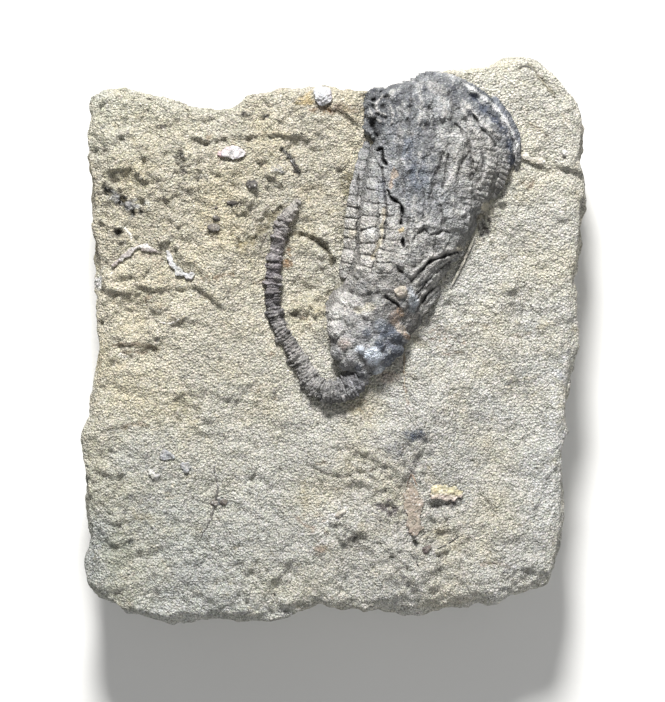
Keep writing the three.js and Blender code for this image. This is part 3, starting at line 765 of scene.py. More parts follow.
def makeStone():
    piece, p, n = started("matrix_slab", stone["voxel"], stone["relax"])
    top = ease((n[:, 2] - 0.25) / 0.4) * ease((p[:, 2] - 8) / 4)
    under = ease((-n[:, 2] - 0.6) / 0.3)
    wall = np.clip(1 - top - under, 0, 1)
    tint = np.array(stone["gain"]) * zoneTint(p, stoneZones)
    warmth = np.clip(layeredNoise(p, 8.0, 4, 90) * 1.1, -0.35, 1)[:, None]
    tint *= 1 + warmth * np.array(stone["warmShift"]) * stone["warmth"]
    tint *= 1 + stone["blotch"] * layeredNoise(p, 5.0, 4, 96)[:, None]

    upper = top > 0.5
    crown = np.full(len(p), -99.0)
    near = np.flatnonzero(upper & np.all(p[:, :2] > stone["crownCorner"], axis=1))
    crown[near] = edgeDistance(p[near], crownEdge)
    clear = (crown < -4) & np.all(np.abs(p[:, :2]) < stone["plainHalf"], axis=1)
    plain = flatFit(p, p[upper & clear])
    flank = upper & (crown < 0) & (crown > -stone["flankReach"])
    above = np.maximum(p[:, 2] - plain, 0) * (1 - np.exp(crown / stone["cliff"]))
    p[:, 2] -= np.where(flank, above * ease((stone["flankReach"] + crown) / 4), 0)

    rough = zoneValue(p, roughZones) * (0.8 + 0.6 * ease(noise(p, 9, 3) + 0.5))
    lift = stone["lumps"] * (0.6 + 0.4 * rough) * layeredNoise(p, 6.0, 3, 10)
    bent = p + 0.9 * drift(p, 1.8, 30)
    bent += 0.4 * drift(p, 0.9, 34)
    for size, share, layer in ((4.4, 0.8, 14), (2.1, 0.5, 18)):
        flakes = clods(bent * (0.7, 1.0, 1.0), size, layer, 9, offset=0.3)
        lift += share * stone["flakes"] * rough * flakes
    first, second, tone = cells(p, 1.1, 24)
    lift += 0.5 * stone["flakes"] * rough * ((tone - 0.5) * ease((second - first) * 4) - 0.25 * first)
    lift += stone["grains"] * rough * (1.2 * noise(p, 0.95, 15) + noise(p, 0.5, 16))
    sand = np.floor(p * 9 + 4000).astype(np.int64)
    lift += 0.6 * stone["grains"] * (hashed(*sand.T, 9) - 0.5)
    for route, rise, reach in stoneLedges + scatteredLedges(stone["nicks"]):
        route = smoothRoute(route)
        near = nearRoute(p, route, 4 * reach, upper)
        moved = p[near][:, :2] + 0.8 * drift(p[near], 2.4, 50, 2)
        distance, along, side = fromRoute(moved, route)
        total = lengthOf(route)
        ends = ease(np.minimum(along, total - along) / min(2.5, 0.35 * total))
        fall = np.exp(-distance / reach) * ease(side * distance / 0.5 + 0.5)
        lift[near] += stone["ledgeRise"] * rise * ends * fall
    plainTint = tint.copy()
    lift += applyMarks(p, tint, scatteredFlecks(stone["flecks"]), [], 44)
    lift += applyMarks(p, tint, stoneLines, stonePatches + clusterMarks())
    marked = ease((p[:, 2] - stone["marksFrom"]) / stone["marksRamp"])[:, None]
    tint = plainTint + marked * (tint - plainTint)
    covered = CoverMap([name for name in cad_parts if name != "matrix_slab"]).at(p)
    lift += covered * (np.minimum(lift, 0) * stone["underFossils"] - 0.1 - lift)
    # the stone under the crown is painted dark grey, as painted shade where it shows between the arms
    blend(tint, ease(crown / 0.6), tints["shadeUnderCrown"])
    # a groove round the crown's foot, outside it, with painted olive shade in it
    seam = np.exp(-(crown / stone["seamWidth"]) ** 2) * (crown < 0.5)
    lift -= stone["seamDepth"] * seam
    blend(tint, 0.35 * seam * (crown < 0), tints["olive"])

    layers = layeredNoise(p, (7, 7, 1.7), 3, 60)
    side = stone["wallLumps"] * layeredNoise(p, 7.5, 2, 70) + stone["wallLayers"] * layers
    side += stone["wallFlakes"] * clods(p, (6.0, 6.0, 3.4), 64, 4)
    side += 0.5 * stone["wallFlakes"] * clods(bent, (2.6, 2.6, 1.5), 66, 4)
    side += 0.16 * noise(p, 0.9, 75) + 0.07 * noise(p, 0.5, 76)
    p += n * (wall * (side - 0.25))[:, None]
    p[:, 2] += top * lift
    p[:, 2] += under * (0.22 * ease(noise(p, 6, 80)) + 0.05 * noise(p, 0.8, 81) + 0.05)
    p[:, 2] = np.maximum(p[:, 2], 0)
    # pale patches on the walls: whitish broken stone, and also a painted highlight that brightens the walls
    chalkAndHighlight = ease(noise(p, 1.8, 84) * 1.6 - 0.2) * wall
    blend(tint, stone["chalkAndHighlight"] * chalkAndHighlight, tints["white"])
    # the walls darker along their beds, and the underside painted darker as shade
    tint *= 1 - 0.10 * (wall * ease(layers))[:, None] - 0.06 * under[:, None]
    putPoints(piece.data, p)
    paint(piece.data, tint)

    group = piece.vertex_groups.new(name="coarse")
    group.add([int(i) for i in np.flatnonzero(under > 0.5)], 1.0, "REPLACE")
    group.add([int(i) for i in np.flatnonzero((under <= 0.5) & (wall > 0.5))], 0.5, "REPLACE")
    fewer = piece.modifiers.new("fewer", "DECIMATE")
    fewer.ratio = stone["keepShare"]
    fewer.vertex_group = "coarse"
    fewer.vertex_group_factor = 10.0
    settle(piece)
    return dress(piece, stoneMaterial, ["matrix_slab"])


stonePiece = makeStone()


class HeightMap:
    # the height of the stone's top at any place

    def __init__(self, piece, cell=0.5):
        self.cell = cell
        points = pointsOf(piece.data)[normalsOf(piece.data)[:, 2] > 0.1]
        points = points[points[:, 2] > lowestFace]
        self.low = points[:, :2].min(0)
        index = np.floor((points[:, :2] - self.low) / cell).astype(int)
        shape = index.max(0) + 2
        total, count = np.zeros(shape), np.zeros(shape)
        np.add.at(total, tuple(index.T), points[:, 2])
        np.add.at(count, tuple(index.T), 1)
        self.known = count > 0
        for _ in range(2):
            self.known = self.known | np.any(neighbours(self.known), axis=0)
        for _ in range(12):
            empty = count == 0
            total = np.where(empty, sum(neighbours(total)), total)
            count = np.where(empty, sum(neighbours(count)), count)
        self.height = total / np.maximum(count, 1)

    def over(self, points):
        # true where there is stone under the place
        return self.known[cellAt(points, self.low, self.cell, self.known.shape)]

    def at(self, points):
        place = (points[:, :2] - self.low) / self.cell - 0.5
        place = np.clip(place, 0, np.array(self.height.shape) - 1.001)
        low = place.astype(int)
        fx, fy = (place - low).T
        h = self.height
        x, y = low.T
        return ((h[x, y] * (1 - fx) + h[x + 1, y] * fx) * (1 - fy)
                + (h[x, y + 1] * (1 - fx) + h[x + 1, y + 1] * fx) * fy)


ground = HeightMap(stonePiece)


def bury(points, depth, edge):
    # sinks the points that are low over the stone, and gives how high they all were
    stands = points[:, 2] - ground.at(points)
    points[:, 2] -= depth * ease(edge - stands)
    return stands


def widen(points, normals, amount):
    points += normals * (1, 1, 0) * amount * ease(1.4 - np.abs(normals[:, 2]))[:, None]


print("stage: crown")
crownZones = [
    (7, 19, 4, (202, 198, 190)), (5, 14, 3, (198, 194, 186)), (6, 28, 3.5, (164, 163, 161)),
    (10, 14, 4, (186, 182, 175)), (13, 26, 3.5, (116, 120, 126)), (17.5, 26, 4, (142, 144, 146)),
    (15, 35, 4, (130, 133, 137)), (12, 42, 4, (126, 128, 131)), (19, 43, 4, (150, 152, 154)),
    (22, 37, 4, (162, 161, 156)), (24, 31, 4, (172, 169, 162)), (28, 33, 3, (160, 158, 154)),
    (31, 36, 2.0, (108, 113, 123)), (27, 42, 2.5, (112, 117, 126)), (17, 15, 4, (172, 170, 165)),
    (20, 20, 4, (158, 158, 156)), (17, 8, 3, (166, 165, 162)), (1, 5, 3, (192, 188, 182)),
    (5, 5, 3, (180, 177, 172)), (3, -2, 3, (166, 164, 161)), (8, 0, 3, (112, 118, 129)),
    (12, 4, 2.5, (156, 150, 142)), (8, 40, 2.6, (100, 101, 102)), (11, 8, 2.5, (170, 167, 162)),
]
# dark lines sunk into cracks and grooves between arms are painted shade there, the black one under the lower
# fold's ridge a painted shadow; pale lines on raised ridges are pale plates with a painted highlight
crownLines = [
    ([(7.4, 33.6), (8.4, 33.6), (8.7, 31.6), (9.3, 30.9)], 0.30, -1.3, "black", 1.0),
    ([(9.3, 26.6), (10.0, 25.3), (11.0, 24.6), (11.8, 23.6), (12.0, 22.0),
     (11.5, 20.2)], 0.30, -1.4, "black", 1.0),
    ([(12.1, 17.9), (12.3, 16.2)], 0.28, -1.0, "black", 0.95),
    ([(10.9, 12.8), (11.4, 12.0), (12.6, 11.0), (13.6, 10.3)], 0.24, -0.6, "darkAndShade", 0.85),
    ([(8.9, 7.5), (9.6, 6.8), (10.6, 6.2), (11.7, 5.3)], 0.26, -0.9, "black", 0.95),
    ([(13.6, 16.8), (14.6, 18.6), (16.0, 19.3), (16.6, 18.6)], 0.26, -0.5, "darkAndShade", 0.5),
    ([(16.8, 18.4), (18.2, 18.7), (19.2, 19.2), (20.6, 18.8)], 0.28, -0.5, "darkAndShade", 0.5),
    ([(14.8, 19.6), (16.4, 20.3), (18.4, 19.8)], 0.4, 0.35, None, 0.0),
    ([(15.6, 12.4), (17.0, 13.5), (18.8, 14.4), (20.4, 14.9), (22.0, 15.2)], 0.27, -0.9, "black", 0.85),
    ([(14.6, 7.9), (16.6, 10.2), (18.8, 12.4), (20.8, 13.6)], 0.24, -0.5, "darkAndShade", 0.6),
    ([(6.5, 14.0), (7.8, 17.0), (8.5, 20.5), (8.6, 23.5)], 0.4, -0.3, "tan", 0.6),
    ([(13.6, 11.0), (15.6, 13.1), (18.2, 15.0), (20.6, 15.9), (22.4, 15.8)], 0.5, 0.5, "pale", 0.6),
    ([(14.4, 9.4), (16.4, 11.9), (18.6, 13.8), (20.4, 14.4)], 0.4, 0.4, "pale", 0.5),
    ([(14.6, 6.2), (16.6, 8.8), (18.8, 11.2)], 0.35, 0.4, "pale", 0.5),
    ([(14.2, 4.6), (15.6, 6.6), (17.4, 8.9)], 0.25, -0.5, "darkAndShade", 0.6),
    ([(13.4, 9.8), (15.2, 12.0), (17.2, 13.8)], 0.25, -0.5, "darkAndShade", 0.6),
    ([(10.4, 31.0), (10.3, 28.8), (10.0, 26.8)], 0.6, -0.2, "rust", 0.8),
    ([(11.9, 19.8), (11.6, 18.8)], 0.6, 0.1, "yellow", 0.7),
    ([(23.8, 44.2), (26.2, 42.0), (28.8, 39.2), (30.8, 36.2), (31.6, 33.4),
     (31.2, 30.8)], 0.6, -0.5, "ink", 0.85),
    ([(23.4, 45.7), (25.9, 44.0), (28.8, 41.4), (31.2, 38.2), (32.4, 35.0),
     (32.4, 32.4)], 0.32, 0.35, "white", 0.75),
    ([(22.7, 43.2), (25.0, 40.2), (27.2, 37.9), (29.4, 35.9)], 0.3, 0.25, "pale", 0.7),
    ([(24.6, 40.0), (26.2, 37.7), (27.6, 36.4), (28.8, 34.4)], 0.3, -0.7, "black", 0.7),
    ([(26.2, 33.4), (26.4, 30.4), (25.6, 27.6)], 0.25, -0.5, "darkAndShade", 0.7),
    ([(20.2, 33.0), (19.8, 29.8), (19.0, 26.6)], 0.25, -0.4, "darkAndShade", 0.6),
    ([(15.4, 28.4), (15.9, 24.8), (15.7, 21.2)], 0.25, -0.35, "darkAndShade", 0.5),
    ([(8.2, 30.6), (8.7, 27.6), (9.0, 24.4), (9.0, 20.6), (8.4, 16.4)], 0.26, -0.6, "darkAndShade", 0.75),
    ([(4.1, 29.6), (4.0, 25.4), (3.9, 21.0), (4.0, 16.6), (4.4, 13.0)], 0.24, -0.5, "darkAndShade", 0.65),
    ([(20.4, 44.6), (21.0, 41.8), (20.8, 38.8)], 0.3, -0.35, "darkAndShade", 0.5),
    ([(15.2, 44.6), (15.4, 41.4), (15.0, 38.0)], 0.3, 0.3, "pale", 0.5),
    ([(8.6, 43.8), (7.5, 42.2), (7.8, 40.8), (9.1, 40.2)], 0.26, 0.5, "pale", 0.7),
    ([(6.1, 41.4), (6.8, 39.8), (8.2, 38.8)], 0.22, 0.4, "pale", 0.6),
    ([(9.6, 42.4), (10.4, 40.6), (10.0, 38.4)], 0.26, 0.4, "pale", 0.5),
    ([(18.8, 37.2), (19.6, 34.6), (19.4, 31.6)], 0.35, 0.3, "pale", 0.5),
    ([(22.4, 42.6), (23.6, 39.8), (24.2, 36.8)], 0.35, 0.3, "pale", 0.5),
    ([(22.0, 29.8), (23.0, 31.8), (24.2, 33.6)], 0.3, -0.5, "darkAndShade", 0.5),
    ([(13.0, 39.5), (13.4, 35.0), (13.0, 31.0)], 0.5, -0.4, "darkAndShade", 0.45),
    ([(17.0, 43.0), (17.6, 39.0), (17.4, 35.0)], 0.35, -0.3, "darkAndShade", 0.35),
    ([(11.3, 43.5), (11.8, 39.0), (11.2, 35.5)], 0.4, -0.3, "darkAndShade", 0.35),
    ([(7.6, 36.0), (6.4, 38.2), (7.6, 40.6)], 0.45, -0.8, "black", 0.7),
    ([(28.1, 37.4), (27.6, 33.6), (27.0, 30.1), (25.9, 26.8)], 0.55, 0.35, "pale", 0.45),
    ([(21.4, 38.5), (23.4, 36.2), (24.2, 33.5), (24.4, 30.6), (24.2, 27.9)], 0.40, -0.5, "darkAndShade", 0.6),
    ([(21.9, 34.6), (21.8, 32.0), (21.4, 30.1), (20.4, 27.6), (19.1, 25.7)], 0.55, 0.35, "pale", 0.5),
    ([(19.1, 33.5), (18.4, 30.6), (17.5, 27.9), (16.9, 23.4)], 0.45, -0.4, "darkAndShade", 0.55),
    ([(15.2, 33.5), (14.9, 31.0), (14.7, 29.0)], 0.50, 0.30, "pale", 0.45),
    ([(14.3, 25.4), (14.1, 23.4), (14.7, 18.9)], 0.60, 0.35, "pale", 0.5),
    ([(11.3, 34.6), (11.8, 31.6), (11.9, 29.0), (12.6, 25.8)], 0.50, -0.3, "darkAndShade", 0.45),
    ([(16.0, 22.6), (16.4, 21.0), (16.0, 19.6)], 0.60, 0.35, "pale", 0.5),
    ([(21.0, 24.8), (21.6, 22.8), (22.5, 21.2)], 0.50, 0.35, "pale", 0.5),
    ([(18.6, 24.0), (19.2, 21.6), (19.0, 19.8)], 0.40, -0.4, "darkAndShade", 0.5),
    ([(13.0, 21.6), (13.0, 18.6), (12.9, 15.6)], 0.35, -0.4, "darkAndShade", 0.5),
    ([(19.1, 43.6), (19.6, 41.4), (19.2, 39.4)], 0.50, 0.30, "pale", 0.5),
    ([(16.9, 42.2), (16.8, 39.6), (16.2, 37.0)], 0.45, -0.35, "darkAndShade", 0.5),
    ([(13.2, 45.4), (13.6, 42.6), (13.2, 40.2)], 0.45, -0.3, "darkAndShade", 0.45),
    ([(23.6, 40.2), (24.8, 37.6), (25.8, 35.6)], 0.45, 0.30, "pale", 0.45),
]
crownPatches = [
    ((11.8, 8.3), (1.3, 1.2), 0, 0.5, "peach", 0.75), ((11.8, 1.4), (1.7, 0.8), -40, 0.1, "peach", 0.8),
    ((10.7, 2.7), (0.9, 0.7), -20, -0.2, "rust", 0.8), ((6.0, 5.4), (1.4, 0.9), 10, 0.1, "cream", 0.5),
    ((12.9, 0.2), (0.9, 0.6), -40, 0.0, "brown", 0.7), ((6.6, -3.0), (1.7, 1.2), 10, 0.4, "ice", 0.85),
    ((4.4, -2.2), (0.9, 0.8), 0, 0.3, "ice", 0.6), ((14.0, 6.6), (1.1, 1.3), 20, 0.3, "ice", 0.55),
    ((6.2, 18.8), (1.3, 1.5), 0, 0.2, "white", 0.4), ((3.1, 18.7), (0.9, 1.1), 0, 0.2, "cream", 0.5),
    ((27.0, 23.4), (0.9, 1.1), 0, 0.3, "cream", 0.7), ((22.3, 15.9), (0.9, 0.5), 10, 0.3, "cream", 0.6),
    ((15.0, 29.5), (2.0, 3.2), 10, 0.0, "blue", 0.45), ((13.0, 34.0), (1.2, 2.5), 0, 0.0, "blue", 0.4),
    ((8.2, 26.6), (1.0, 2.4), 5, 0.0, "blue", 0.3), ((9.0, 1.2), (2.2, 1.4), 20, -0.2, "blue", 0.5),
    # the black and dark patches sunk near the top edge are painted shade in pits
    ((6.9, 42.8), (0.6, 0.5), 0, -0.7, "black", 0.7), ((8.5, 41.7), (0.6, 0.5), 30, -0.7, "black", 0.7),
    ((6.5, 39.2), (0.5, 0.6), 0, -0.6, "black", 0.6), ((9.3, 43.4), (0.7, 0.5), 0, -0.5, "darkAndShade", 0.6),
    ((4.0, 5.0), (1.0, 0.8), 0, -0.2, "cream", 0.5), ((18.0, 45.2), (2.4, 1.2), -20, 0.2, "pale", 0.4),
    ((11.6, 4.6), (0.7, 1.0), 30, -0.2, "brown", 0.6), ((15.5, 22.6), (1.6, 1.0), 0, 0.1, "grey", 0.4),
]


crownSlope = 0.14
# how clearly the single plates show: middle, radius and share
crispZones = [
    (5, 20, 5, 1.0), (9, 15, 4, 1.0), (6, 29, 4, 0.75), (12.5, 15, 2.5, 0.45), (14, 25, 3, 0.3),
    (17.5, 25, 3, 0.38), (16, 38, 5, 0.12), (22, 41, 4, 0.15), (23.5, 30, 3.0, 0.62), (28, 30.5, 3.0, 0.66),
    (27, 37, 2.5, 0.25), (31.5, 35, 1.5, 0.3), (17, 13, 3.5, 0.3),
]


def crispAt(points):
    return np.clip(zoneValue(points, crispZones), 0, 1)


def crownLumps(points):
    # knots and furrows that follow the arms where their plates are worn away
    flat = slanted(points * (1, 1, 0), crownSlope)
    worn = 1 - crispAt(points)
    first, second, tone = cells(flat, (1.5, 2.0, 2.0), 170)
    knots = 0.8 * (tone - 0.5) * ease((second - first) * 3) + 0.3 * (0.5 - first)
    return worn * (0.55 * layeredNoise(flat, (1.7, 2.6, 2.0), 3, 160) + knots)


def crownTint(points):
    tint = zoneTint(points, crownZones)
    streak = layeredNoise(slanted(points, 0.12), (1.3, 2.3, 2.4), 3, 110)
    worn = 1 - 0.6 * crispAt(points)
    tone = cells(points, 0.85, 115)[2]
    tint *= (0.97 + 0.40 * worn * streak + 0.26 * worn * (tone - 0.5))[:, None]
    pale = ease(layeredNoise(points, 1.8, 4, 120) * 1.5 - 0.3)
    blend(tint, 0.7 * pale * worn, tints["crust"])
    dark = ease(layeredNoise(points, (1.3, 2.2, 2.0), 4, 130) * 1.7 - 0.5)
    blend(tint, 0.7 * dark * worn, tints["smoke"])
    return 0.88 * tint


# rounded plates of the cup and the lowest arms: place, radius, rise, colour and strength
knobs = [
    (1.4, 7.3, 1.7, 0.9, "pale", 0.7), (-0.1, 4.5, 1.8, 1.1, "pale", 0.8),
    (0.1, 1.5, 1.7, 1.0, "pale", 0.8), (1.8, -1.2, 1.5, 0.7, "pink", 0.35),
    (2.6, -3.8, 1.5, 0.8, "grey", 0.5), (3.9, 6.3, 1.5, 0.6, "pale", 0.45),
    (4.7, 9.0, 1.7, 1.0, "grey", 0.5), (5.6, 4.6, 1.4, 0.7, "pale", 0.5),
    (7.6, 6.1, 1.6, 0.7, "pale", 0.45), (2.9, 3.6, 1.3, 0.5, "grey", 0.5),
    (8.2, 2.2, 1.6, 0.7, "ice", 0.3), (10.8, 3.6, 1.5, 0.7, "pink", 0.4),
    (5.6, 0.9, 1.2, 0.4, "slate", 0.7), (10.8, 0.4, 1.5, 0.5, "slate", 0.6),
    (6.7, -3.4, 1.9, 0.8, "ice", 0.75), (4.6, -2.4, 0.9, 0.7, "ice", 0.6),
    (9.2, -3.7, 1.3, 0.5, "slate", 0.5), (8.6, 8.8, 1.6, 1.0, "pale", 0.45),
    (8.0, -1.1, 1.1, 0.4, "slate", 0.8), (3.9, -5.2, 1.1, 0.5, "slate", 0.6),
    (11.8, 6.2, 1.3, 0.6, "grey", 0.5), (2.4, 10.4, 1.3, 1.0, "pale", 0.5),
    (6.6, 11.2, 1.5, 1.0, "pale", 0.5), (9.8, 11.2, 1.5, 1.0, "pale", 0.4),
    (4.4, 11.6, 1.1, 1.0, "grey", 0.3), (8.2, 12.9, 1.2, 0.9, "grey", 0.3),
    (11.2, 13.0, 1.2, 0.9, "grey", 0.3), (0.3, -2.8, 1.4, 0.9, "grey", 0.5),
    (1.6, -5.0, 1.2, 0.9, "grey", 0.4), (4.6, -6.4, 1.1, 0.8, "slate", 0.4),
    (7.8, -5.8, 1.3, 0.8, "ice", 0.4), (10.9, -2.4, 1.3, 0.8, "slate", 0.4),
    (12.9, -0.2, 1.1, 0.7, "grey", 0.4), (12.4, 10.9, 1.3, 0.9, "grey", 0.4),
    (13.6, 8.4, 1.1, 0.5, "ice", 0.35), (14.0, 5.2, 1.2, 0.5, "ice", 0.3),
    (13.0, 2.4, 1.0, 0.5, "grey", 0.4),
]


def applyKnobs(points, tint, base):
    # the height of the knobs over a worn base, and their colours
    bent = points + 0.34 * drift(points, 1.5, 330) + 0.16 * drift(points, 0.5, 334)
    height = np.full(len(points), base)
    for x, y, radius, rise, name, strength in knobs:
        reach = np.hypot(bent[:, 0] - x, bent[:, 1] - y) / radius
        dome = 0.8 * rise * np.clip(1 - reach ** 3, 0, 1) ** 0.6 - 0.2
        over = dome > height
        height = np.where(over, dome, height)
        blend(tint, strength * over * ease(1.6 * (1 - reach)), tints[name])
    return height


def makeMass():
    # plates and pinnules packed between the arms, as one rough sheet that dips under the stone
    look = {
        "spacing": 0.24, "rise": 0.85, "shoulder": 1.3, "skirt": 0.7, "depth": 1.5, "inward": 0.93,
        "rim": 1.5, "rimDrop": 0.7, "nubs": 0.30, "overhang": 1.3, "burial": 0.55, "shadeBetweenArms": 0.42,
    }
    low, high = crownEdge.min(0) - 1, crownEdge.max(0) + 1
    counts = np.ceil((high - low) / look["spacing"]).astype(int)
    bm = bmesh.new()
    bmesh.ops.create_grid(bm, x_segments=int(counts[0]), y_segments=int(counts[1]), size=0.5)
    size, mid = (high - low) * unit, (high + low) / 2 * unit
    bmesh.ops.scale(bm, vec=(size[0], size[1], 1), verts=bm.verts)
    bmesh.ops.translate(bm, vec=(mid[0] + middle.x, mid[1] + middle.y, 0), verts=bm.verts)
    flat = (np.array([v.co for v in bm.verts]) - (middle.x, middle.y, 0)) / unit
    outside = (edgeDistance(flat, crownEdge) < -look["skirt"]) | ~ground.over(flat)
    bm.verts.ensure_lookup_table()
    bmesh.ops.delete(bm, geom=[bm.verts[i] for i in np.flatnonzero(outside)], context="VERTS")
    piece = pieceFrom("seen_pinnules", bm)
    mesh = piece.data
    p = pointsOf(mesh)
    inside = edgeDistance(p, crownEdge)
    inside += look["overhang"] * ease((p[:, 1] - 41) / 3)
    slope = ease(inside / look["shoulder"] * 0.5 + 0.5) * 2 - 1
    rise = (look["rise"] + look["burial"] * (1 - crispAt(p))) * slope
    base = np.maximum(ground.at(p), ground.at(p - (0, look["rim"], 0)) - look["rimDrop"])
    p[:, 2] = base + rise + crownLumps(p)
    tint = crownTint(p)
    nubs = clods(slanted(p, crownSlope), (0.9, 1.5, 1.4), 140, 3, 0.2)
    p[:, 2] += look["nubs"] * nubs + 0.16 * noise(p, 0.7, 144) + 0.10 * noise(p, 0.4, 145)
    # the sheet is painted darker where the arms stand clear, as painted shade between the arms
    tint *= ((0.86 + 0.3 * nubs) * (1 - look["shadeBetweenArms"] * crispAt(p)))[:, None]
    p[:, 2] += 0.7 * np.maximum(applyKnobs(p, tint, -0.2), 0)
    p[:, 2] += applyMarks(p, tint, crownLines, crownPatches, 150)
    putPoints(mesh, p)

    bm = bmesh.new()
    bm.from_mesh(mesh)
    rim = [e for e in bm.edges if e.is_boundary]
    made = bmesh.ops.extrude_edge_only(bm, edges=rim)["geom"]
    fresh = [g for g in made if isinstance(g, bmesh.types.BMVert)]
    hub = Matrix.Translation((-mid[0] - middle.x, -mid[1] - middle.y, 0))
    bmesh.ops.scale(bm, vec=(look["inward"], look["inward"], 1), space=hub, verts=fresh)
    bmesh.ops.translate(bm, vec=(0, 0, -look["depth"] * unit), verts=fresh)
    loose = [e for e in bm.edges if e.is_boundary]
    bmesh.ops.holes_fill(bm, edges=loose, sides=0)
    bmesh.ops.triangulate(bm, faces=[f for f in bm.faces if len(f.verts) > 4])
    bmesh.ops.recalc_face_normals(bm, faces=bm.faces)
    bm.to_mesh(mesh)
    bm.free()
    under = np.repeat(tints["grey"][None], len(mesh.vertices) - len(tint), 0)
    paint(mesh, np.vstack([tint, under]))
    return dress(piece, calciteMaterial)


def routeOf(points, centre=None, parts=18):
    # the middle line of a rod-like mesh, from one end to the other
    flat = points[:, :2]
    if centre is None:
        offset = flat - flat.mean(0)
        axis = np.linalg.svd(offset, full_matrices=False)[2][0]
        key = offset @ (axis if axis[1] > 0 else -axis)
    else:
        angle = np.degrees(np.arctan2(flat[:, 1] - centre[1], flat[:, 0] - centre[0]))
        key = np.mod(-45 - angle, 360)
    edges = np.linspace(key.min(), key.max() + 1e-6, parts + 1)
    slices = [flat[(key >= a) & (key < b)] for a, b in zip(edges, edges[1:])]
    route = np.array([part.mean(0) for part in slices if len(part)])
    route[0] += 0.6 * (flat[key.argmin()] - route[0])
    route[-1] += 0.6 * (flat[key.argmax()] - route[-1])
    return smoothRoute(route, 2)


def rowTone(order, row, layer):
    # a number from 0 to 1 for each plate or disc of a row
    return hashed(order, order * 0 + row, order * 0, layer)


def makeArm(node, look):
    piece, p, n = started(node, look["voxel"], 6)
    route = routeOf(p)
    distance, along, side = fromRoute(p, route)
    lateral = distance * side
    half = np.percentile(distance, 97)
    widen(p, n, look["grow"])
    stands = bury(p, look["burial"], look["burialEdge"])
    p[:, 2] -= look["flatten"] * np.maximum(stands - look["flatAbove"], 0)
    upper = ease(n[:, 2] * 1.5 + 0.6)
    crisp = crispAt(p) * look["crisp"]
    fromEnd = np.minimum(along, lengthOf(route) - along)
    p[:, 2] -= look["tipSink"] * ease(1 - fromEnd / 3.0) + 0.35 * (1 - crisp) - 0.1

    warped = along + 0.7 * noise(p * (1, 1, 0), 3.0, look["layer"]) + 0.12 * noise(p, 0.9, 3)
    phase = warped / look["pitch"]
    if look["rows"] == 2:
        phase = phase + 0.5 * (lateral > 0)
    plate = np.floor(phase)
    inner = np.abs(phase - plate - 0.5) * 2
    suture = ease((inner - 1 + look["seam"]) / look["seam"])
    order = plate.astype(np.int64) + 1000 + 500 * ((lateral > 0) & (look["rows"] == 2))
    tone = rowTone(order, 3, look["layer"])
    swing = rowTone(order, 9, look["layer"]) - 0.5
    worn = crisp * ease(noise(p, 3.5, look["layer"] + 5) + 1.15)
    height = -look["suture"] * suture * worn
    height += look["bead"] * (1 - inner ** 2) * worn + look["step"] * (tone - 0.5) * worn
    height += look["tilt"] * swing * (phase - plate - 0.5) * worn
    if look["rows"] == 2:
        height -= 0.7 * look["suture"] * np.exp(-(lateral / 0.18) ** 2) * worn
    height += look["rough"] * layeredNoise(p, 1.3, 3, look["layer"] + 7) + 0.06 * noise(p, 0.38, 77)
    strands = np.stack([lateral / 0.3, along / 2.6, np.full(len(p), 3.7)], axis=1)
    fibres = layeredNoise(strands, 1.0, 2, look["layer"] + 13)
    height += look["fibre"] * fibres
    height += look["clods"] * clods(p, 1.3, look["layer"] + 9, 4, 0.55)
    p += n * (upper * height)[:, None]
    p[:, 2] += upper * crownLumps(p)

    tint = crownTint(p)
    tint *= (1 + look["tone"] * (tone - 0.5) * worn + 1.6 * look["fibre"] * fibres)[:, None]
    blend(tint, suture * worn * look["shadow"], tints["suture"])
    # each arm's flanks are painted towards its fill colour: painted shade between the arms in dark grey, and
    # tan sediment on the middle left arm
    flank = ease((np.abs(lateral) / half - 0.75) / 0.3) * look["gutter"]
    blend(tint, flank, tints[look["fill"]] * 0.8)
    p[:, 2] += 0.6 * upper * np.maximum(applyKnobs(p, tint, -0.2), 0)
    p[:, 2] += upper * applyMarks(p, tint, crownLines, crownPatches, 150)
    return finished(piece, p, tint, calciteMaterial, [node])


